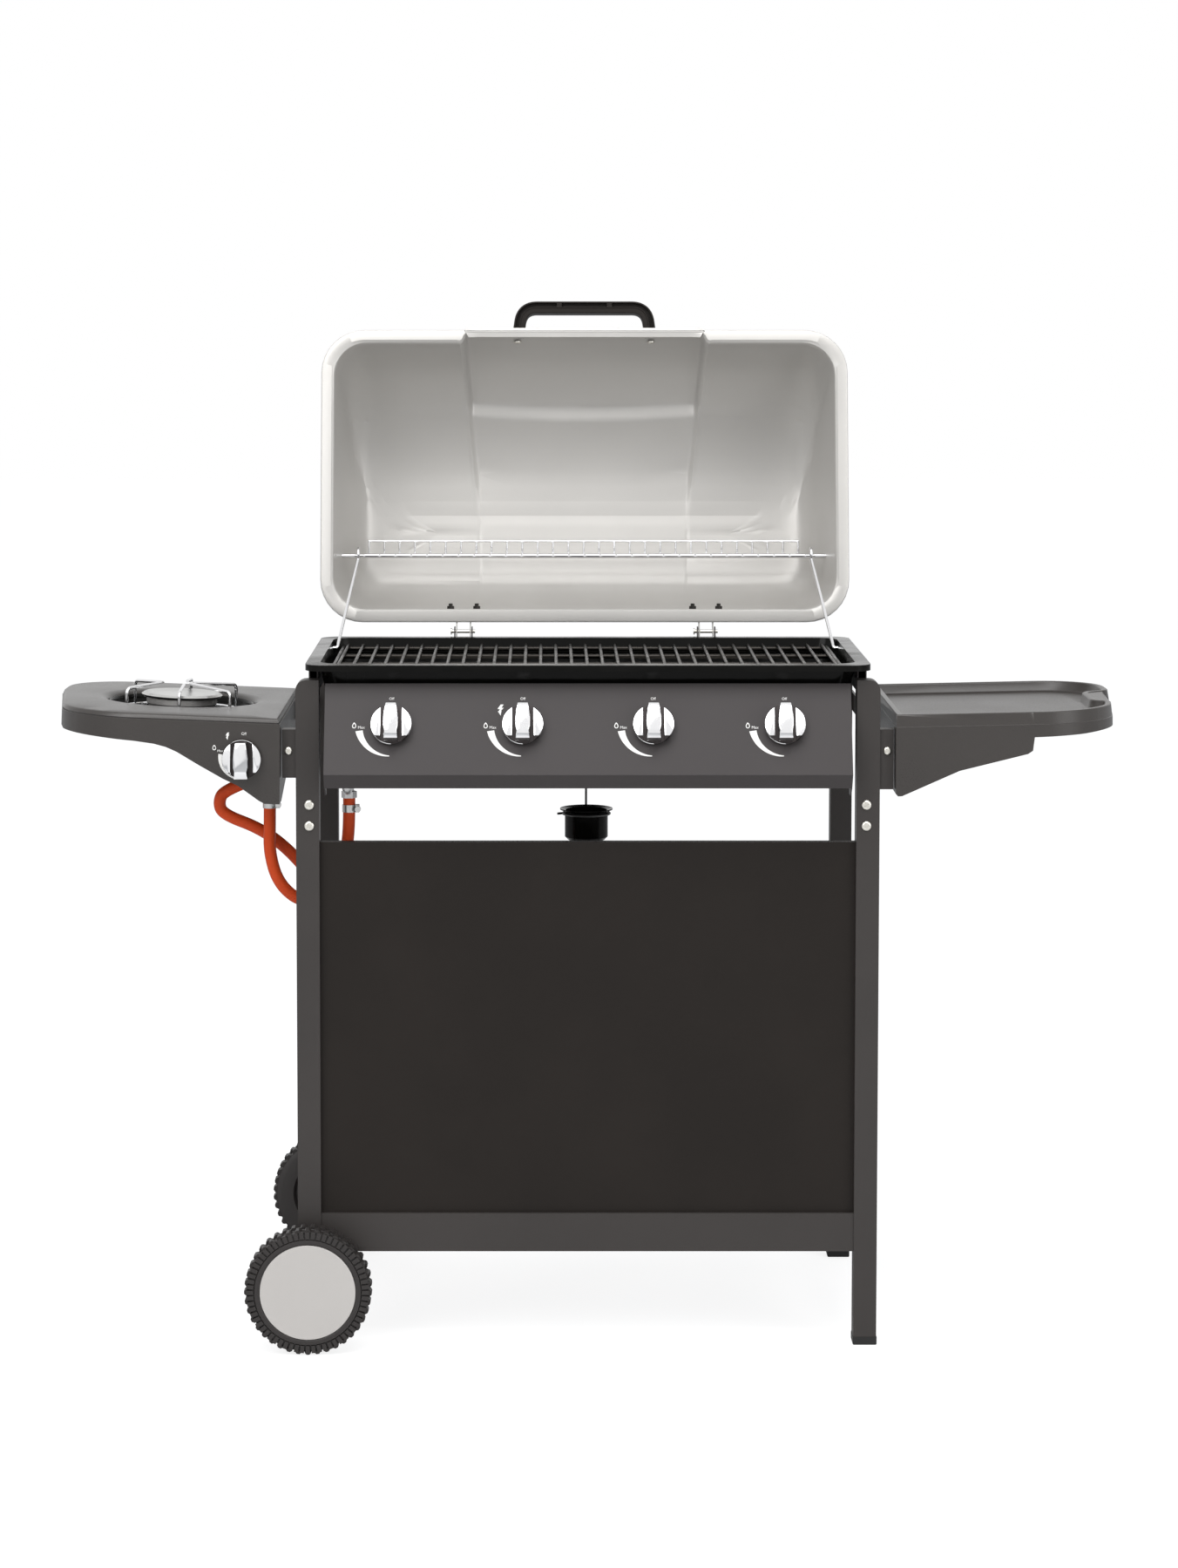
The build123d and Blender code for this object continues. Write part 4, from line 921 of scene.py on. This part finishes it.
def flat_text(bm, words, height, x, y):
    """Words as a flat shape lying over a panel, centred on a place."""
    curve = bpy.data.curves.new(words, "FONT")
    curve.body = words
    curve.size = height * TEXT_SCALE
    curve.align_x = "CENTER"
    curve.align_y = "CENTER"
    curve.resolution_u = 4
    holder = bpy.data.objects.new(words, curve)
    mesh = holder.to_mesh()
    old = set(bm.verts)
    bm.from_mesh(mesh)
    holder.to_mesh_clear()
    bpy.data.objects.remove(holder)
    bpy.data.curves.remove(curve)
    placed(bm, added(bm, old), Matrix.Translation((x, y, 0.0)))


def flame_mark(bm, x, y, tall):
    """The outline of a small flame."""
    rings = [bmesh.ops.create_circle(bm, cap_ends=False, segments=20, radius=radius)["verts"]
             for radius in (0.5, 0.31)]
    bmesh.ops.bridge_loops(bm, edges=edges_at(rings[0] + rings[1]))
    for vert in rings[0] + rings[1]:
        up = max(0.0, vert.co.y)
        vert.co.x *= 0.62 * (1.0 - 1.7 * up * up) + 0.05
        vert.co.y = vert.co.y * 0.72 if up == 0.0 else up * 1.28
    placed(bm, rings[0] + rings[1], Matrix.Translation((x, y, 0.0)) @ Matrix.Scale(tall, 4))


def bolt_mark(bm, x, y, tall):
    """A lightning bolt."""
    bolt = ((0.26, 0.5), (0.02, 0.5), (-0.25, 0.1), (-0.04, 0.08), (-0.16, -0.12), (-0.23, -0.1),
            (0.02, -0.5), (0.1, -0.04), (0.04, -0.07), (0.28, 0.2), (0.1, 0.2))
    bm.faces.new([bm.verts.new((x + tall * a, y + tall * b, 0.0)) for a, b in bolt])


def flow_mark(bm, start, end, outer, inner):
    """The tapering arc that shows the flame getting smaller, radii given at both of its ends."""
    strip = bmesh.ops.create_grid(bm, x_segments=22, y_segments=1, size=0.5)["verts"]
    for vert in strip:
        t, across = vert.co.x + 0.5, vert.co.y + 0.5
        angle = math.radians(start + (end - start) * t)
        far = outer[0] + (outer[1] - outer[0]) * t
        near = inner[0] + (inner[1] - inner[0]) * t
        radius = near + (far - near) * across
        vert.co = Vector((radius * math.cos(angle), radius * math.sin(angle), 0.0))


def mark_knob(bm, place, flow, flame, largest, off, bolt):
    """The marks round one knob: the arc, the flame, the two words and perhaps a bolt."""
    old = set(bm.verts)
    flow_mark(bm, *flow)
    flame_mark(bm, *flame)
    flat_text(bm, "Max", *largest)
    flat_text(bm, "Off", *off)
    if bolt:
        bolt_mark(bm, *bolt)
    placed(bm, added(bm, old), place @ Matrix.Translation((0.0, 0.0, MARK_LIFT)))


def make_marks(finishes):
    """The printed settings round every knob, as thin raised paint."""
    bm = bmesh.new()
    for name, x in KNOB_PLACES.items():
        bolt = (-26.9, 20.4, 14.0) if name == IGNITER_KNOB else None
        mark_knob(bm, panel_place(x, KNOB_DOWN), (188.5, 267.0, (43.4, 37.9), (34.6, 36.8)),
                  (-44.6, 0.0, 7.4), (3.6, -36.0, -1.6), (3.4, 0.0, 34.6), bolt)
    mark_knob(bm, side_place(), (168.0, 262.0, (29.0, 25.4), (22.4, 24.6)), (-33.4, 12.8, 6.6),
              (3.0, -26.4, 9.6), (3.4, 2.4, 30.2), (-17.4, 27.4, 9.0))
    front = Vector((0.0, -1.0, 0.0))
    bm.normal_update()
    bmesh.ops.reverse_faces(bm, faces=[face for face in bm.faces if face.normal.dot(front) < 0.0])
    bmesh.ops.solidify(bm, geom=bm.faces[:], thickness=MARK_THICK)
    bmesh.ops.recalc_face_normals(bm, faces=bm.faces)
    finished(bm, "panel_marks", "trolley", finishes, "control_paint", finish="mark_white")


# ---- wheels and screws

WHEEL_X, WHEEL_R, WHEEL_W, HUB_R, BORE_R = -339.0, 77.0, 36.0, 58.3, 4.1
# Body, node, front face and the way the disc looks
WHEELS = (("front_wheel", "wheel_front", -46.0, -1), ("rear_wheel", "wheel_rear", 460.0, 1))
TREAD_BLOCKS = 40
SIDE_RIBS = 64
# The middles of the legs to either side, and the front face of the rear legs
LEG_X, REAR_LEG = 337.0, 422.0


def block_ring(bm, outline, low, high, count, turn=0.0):
    """Copies of a small prism all round the axis."""
    for index in range(count):
        verts = prism(bm, outline, low, high)
        placed(bm, verts, Matrix.Rotation(math.radians(turn + index * 360.0 / count), 4, "Z"))


def shape_wheel(bm):
    """A moulded tyre: a recess for its disc, ribs on its wall and two rows of tread blocks."""
    half = WHEEL_W / 2
    lathe(bm, ((BORE_R, 12.0), (15.0, 12.0), (15.0, 3.2), (HUB_R + 0.2, 3.2), (HUB_R + 0.2, 0.8), (59.4, 0.2),
               (61.0, 0.0), (64.4, 0.3), (65.2, 2.4), (71.5, 3.2), (73.4, 4.4), (73.6, half - 1.6),
               (72.6, half - 0.9), (72.6, half + 0.9), (73.6, half + 1.6), (73.4, WHEEL_W - 3.4),
               (71.5, WHEEL_W - 2.2), (65.0, WHEEL_W), (50.0, WHEEL_W), (46.0, WHEEL_W - 6.0),
               (18.0, WHEEL_W - 8.0), (14.0, WHEEL_W - 3.0), (14.0, WHEEL_W + 9.0), (BORE_R, WHEEL_W + 9.0),
               (BORE_R, 12.0)), 96)
    block_ring(bm, ((65.6, -2.2), (74.6, -2.6), (74.6, 2.6), (65.6, 2.2)), 0.3, 5.0, SIDE_RIBS)
    tread = ((72.8, -4.4), (75.3, -3.4), (WHEEL_R, -1.7), (WHEEL_R, 1.7), (75.3, 3.4), (72.8, 4.4))
    block_ring(bm, tread, 2.6, half - 1.8, TREAD_BLOCKS)
    block_ring(bm, tread, half + 1.8, WHEEL_W - 2.6, TREAD_BLOCKS, 180.0 / TREAD_BLOCKS)


def make_wheels(finishes):
    """The two tyres, each with its disc side outwards."""
    for body, node, front, looks in WHEELS:
        bm = bmesh.new()
        shape_wheel(bm)
        face = front if looks < 0 else front + WHEEL_W
        turn = Matrix.Rotation(math.radians(looks * 90.0), 4, "X")
        clock = Matrix.Rotation(math.radians(90.0), 4, "Z")
        placed(bm, bm.verts, Matrix.Translation((WHEEL_X, face, WHEEL_R)) @ turn @ clock)
        finished(bm, body + "_tyre", body, finishes, "wheel_plastic", [node])


def cross_screw(bm, place, radius, height):
    """A pan head with a cross recess, standing up from its foot."""
    old = set(bm.verts)
    lathe(bm, ((0.0, 0.0), (radius, 0.0), (radius, height * 0.4), (radius * 0.93, height * 0.68),
               (radius * 0.75, height * 0.88)), 20)
    rim = [edge for edge in bm.edges if edge.is_boundary and edge.verts[0] not in old]
    top = bmesh.ops.contextual_create(bm, geom=rim)["faces"][0]
    if top.normal.z < 0.0:
        top.normal_flip()
    bmesh.ops.inset_region(bm, faces=[top], thickness=radius * 0.1, use_even_offset=True)
    bmesh.ops.translate(bm, vec=(0.0, 0.0, height * 0.1), verts=top.verts)
    reach, half = radius * 0.56, radius * 0.11
    for way in ((1.0, 0.0, 0.0), (0.0, 1.0, 0.0)):
        for offset in (-reach, -half, half, reach):
            upper = list({face for vert in added(bm, old) for face in vert.link_faces
                          if face.calc_center_median().z > height * 0.95})
            edges = list({edge for face in upper for edge in face.edges})
            verts = list({vert for face in upper for vert in face.verts})
            bmesh.ops.bisect_plane(bm, geom=verts + edges + upper, dist=0.0001,
                                   plane_co=Vector(way) * offset, plane_no=way)
    cross = []
    for face in {face for vert in added(bm, old) for face in vert.link_faces}:
        x, y, z = face.calc_center_median()
        if z > height * 0.95 and ((abs(x) < half and abs(y) < reach) or (abs(y) < half and abs(x) < reach)):
            cross.append(face)
    made = bmesh.ops.extrude_face_region(bm, geom=cross)["geom"]
    bmesh.ops.delete(bm, geom=[face for face in cross if face.is_valid], context="FACES_ONLY")
    shift_up(bm, made, -height * 0.6)
    placed(bm, close_up(bm, old), place)


def facing(x, y, z, turn):
    """A place whose up points to the front after a quarter turn, with the recess a little askew."""
    tip = Matrix.Rotation(math.radians(turn), 4, "X")
    return Matrix.Translation((x, y, z)) @ tip @ Matrix.Rotation(0.5, 4, "Z")


def make_frame_screws(finishes):
    """The cross screws of the four legs and of the front shelf brackets."""
    bm = bmesh.new()
    for side in (-1, 1):
        for front in (0.0, REAR_LEG):
            for height in (640.0, 665.6):
                cross_screw(bm, facing(side * LEG_X, front, height, 90.0), 6.0, 2.8)
        cross_screw(bm, facing(side * 362.0, 4.0, 731.0, 90.0), 5.0, 2.8)
    finished(bm, "cross_screws", "trolley", finishes, "zinc", ["frame_screws"])


# ---- lid handle, lid screws and burner bowl


def swept(bm, path, ways, section):
    """A solid along a flat path; the section gives (outwards, height) points for each step of the path."""
    old = set(bm.verts)
    loops = []
    for index, (point, way) in enumerate(zip(path, ways)):
        ring = [bm.verts.new((point.x + way.x * out, point.y + way.y * out, high))
                for out, high in section(index)]
        loops.append([bm.edges.new(pair) for pair in zip(ring, ring[1:] + ring[:1])])
    skin(bm, loops)
    for loop in (loops[0], loops[-1]):
        bmesh.ops.contextual_create(bm, geom=loop)
    return close_up(bm, old)


def make_handle(finishes):
    """The moulded handle with three recesses in the side that faces out when the lid is open."""
    start, top, low, high = -17.9, -58.25, 859.2, 882.0
    corners = [(-87.4, start, 0.0), (-82.0, top, 0.0), (82.0, top, 0.0), (87.4, start, 0.0)]
    path = rounded_path(corners, 38.0, 14)
    bridges = (-36.6, -36.2, -29.8, -29.4, 29.4, 29.8, 36.2, 36.6)
    straight = [Vector((x, top, 0.0)) for x in bridges]
    middle = next(i for i, point in enumerate(path) if point.x > 0.0)
    path = path[:middle] + straight + path[middle:]
    ways = []
    for index in range(len(path)):
        along = (path[min(index + 1, len(path) - 1)] - path[max(index - 1, 0)]).normalized()
        ways.append(Vector((along.y, -along.x, 0.0)))

    def section(index):
        """The handle's outline at one step of its path; the recess is filled at the bridges."""
        depth = 0.4 if 29.6 < abs(path[index].x) < 36.4 and abs(path[index].y - top) < 0.1 else 6.5
        return ((7.75, low + 1.4), (6.9, low), (5.6, low), (5.2, low + depth), (0.6, low + depth), (0.2, low),
                (-0.8, low), (-1.6, low + 0.9), (-7.0, low + 1.2), (-7.75, low + 2.2), (-7.75, high - 2.0),
                (-6.0, high), (6.0, high), (7.75, high - 2.0))

    bm = bmesh.new()
    swept(bm, path, ways, section)
    finished(bm, "moulded_handle", "lid", finishes, "handle_plastic", ["lid_handle"], 32.0)


def make_lid_screws(finishes):
    """The two handle screws inside the lid and the four nuts over its hinge arms."""
    bm = bmesh.new()
    for x in (-88.0, 88.0):
        cross_screw(bm, facing(x, -14.2, LID_PLANE + 32.0, -90.0), 4.6, 2.6)
    finished(bm, "handle_screws", "lid", finishes, "zinc", ["lid_screws"])
    bm = bmesh.new()
    for middle in (-158.0, 158.0):
        for side in (-1, 1):
            verts = lathe(bm, ((0.0, 0.0), (5.2, 0.0), (5.2, 3.4), (3.0, 4.0), (3.0, 6.6), (2.4, 7.0),
                               (0.0, 7.0)), 6)
            placed(bm, verts, facing(middle + side * 17.0, 341.4, LID_PLANE + 16.0, 90.0))
    finished(bm, "hinge_nuts", "lid", finishes, "wire_black", sharp=25.0, finish="nut_black")


def make_burner_bowl(finishes):
    """The black bowl sunk in the side shelf."""
    bm = bmesh.new()
    lathe(bm, ((11.0, -22.0), (78.0, -22.0), (82.0, -20.8), (88.0, -14.0), (89.8, -9.0), (90.2, -4.6)), 72)
    face_outwards(bm, Vector((0.0, 0.0, -1.0)))
    placed(bm, bm.verts, Matrix.Translation((*BURNER, LEFT_TOP)))
    tilt_shelf(bm, -1, LEFT_TOP, LEFT_TILT)
    bowl = finished(bm, "sunken_bowl", "trolley", finishes, "enamel", ["side_burner_bowl"])
    thicken(bowl, 1.2)


# ---- the whole


def make_grill():
    """Everything, from the camera to the floor."""
    make_camera()
    finishes = make_finishes()
    make_hoses(finishes)
    make_lid_shell(finishes)
    make_side_shelf(finishes)
    make_tray(finishes)
    make_knobs(finishes)
    make_marks(finishes)
    make_wheels(finishes)
    make_frame_screws(finishes)
    make_handle(finishes)
    make_lid_screws(finishes)
    make_burner_bowl(finishes)
    dress_nodes(finishes)
    make_light()
    make_floor()


make_grill()
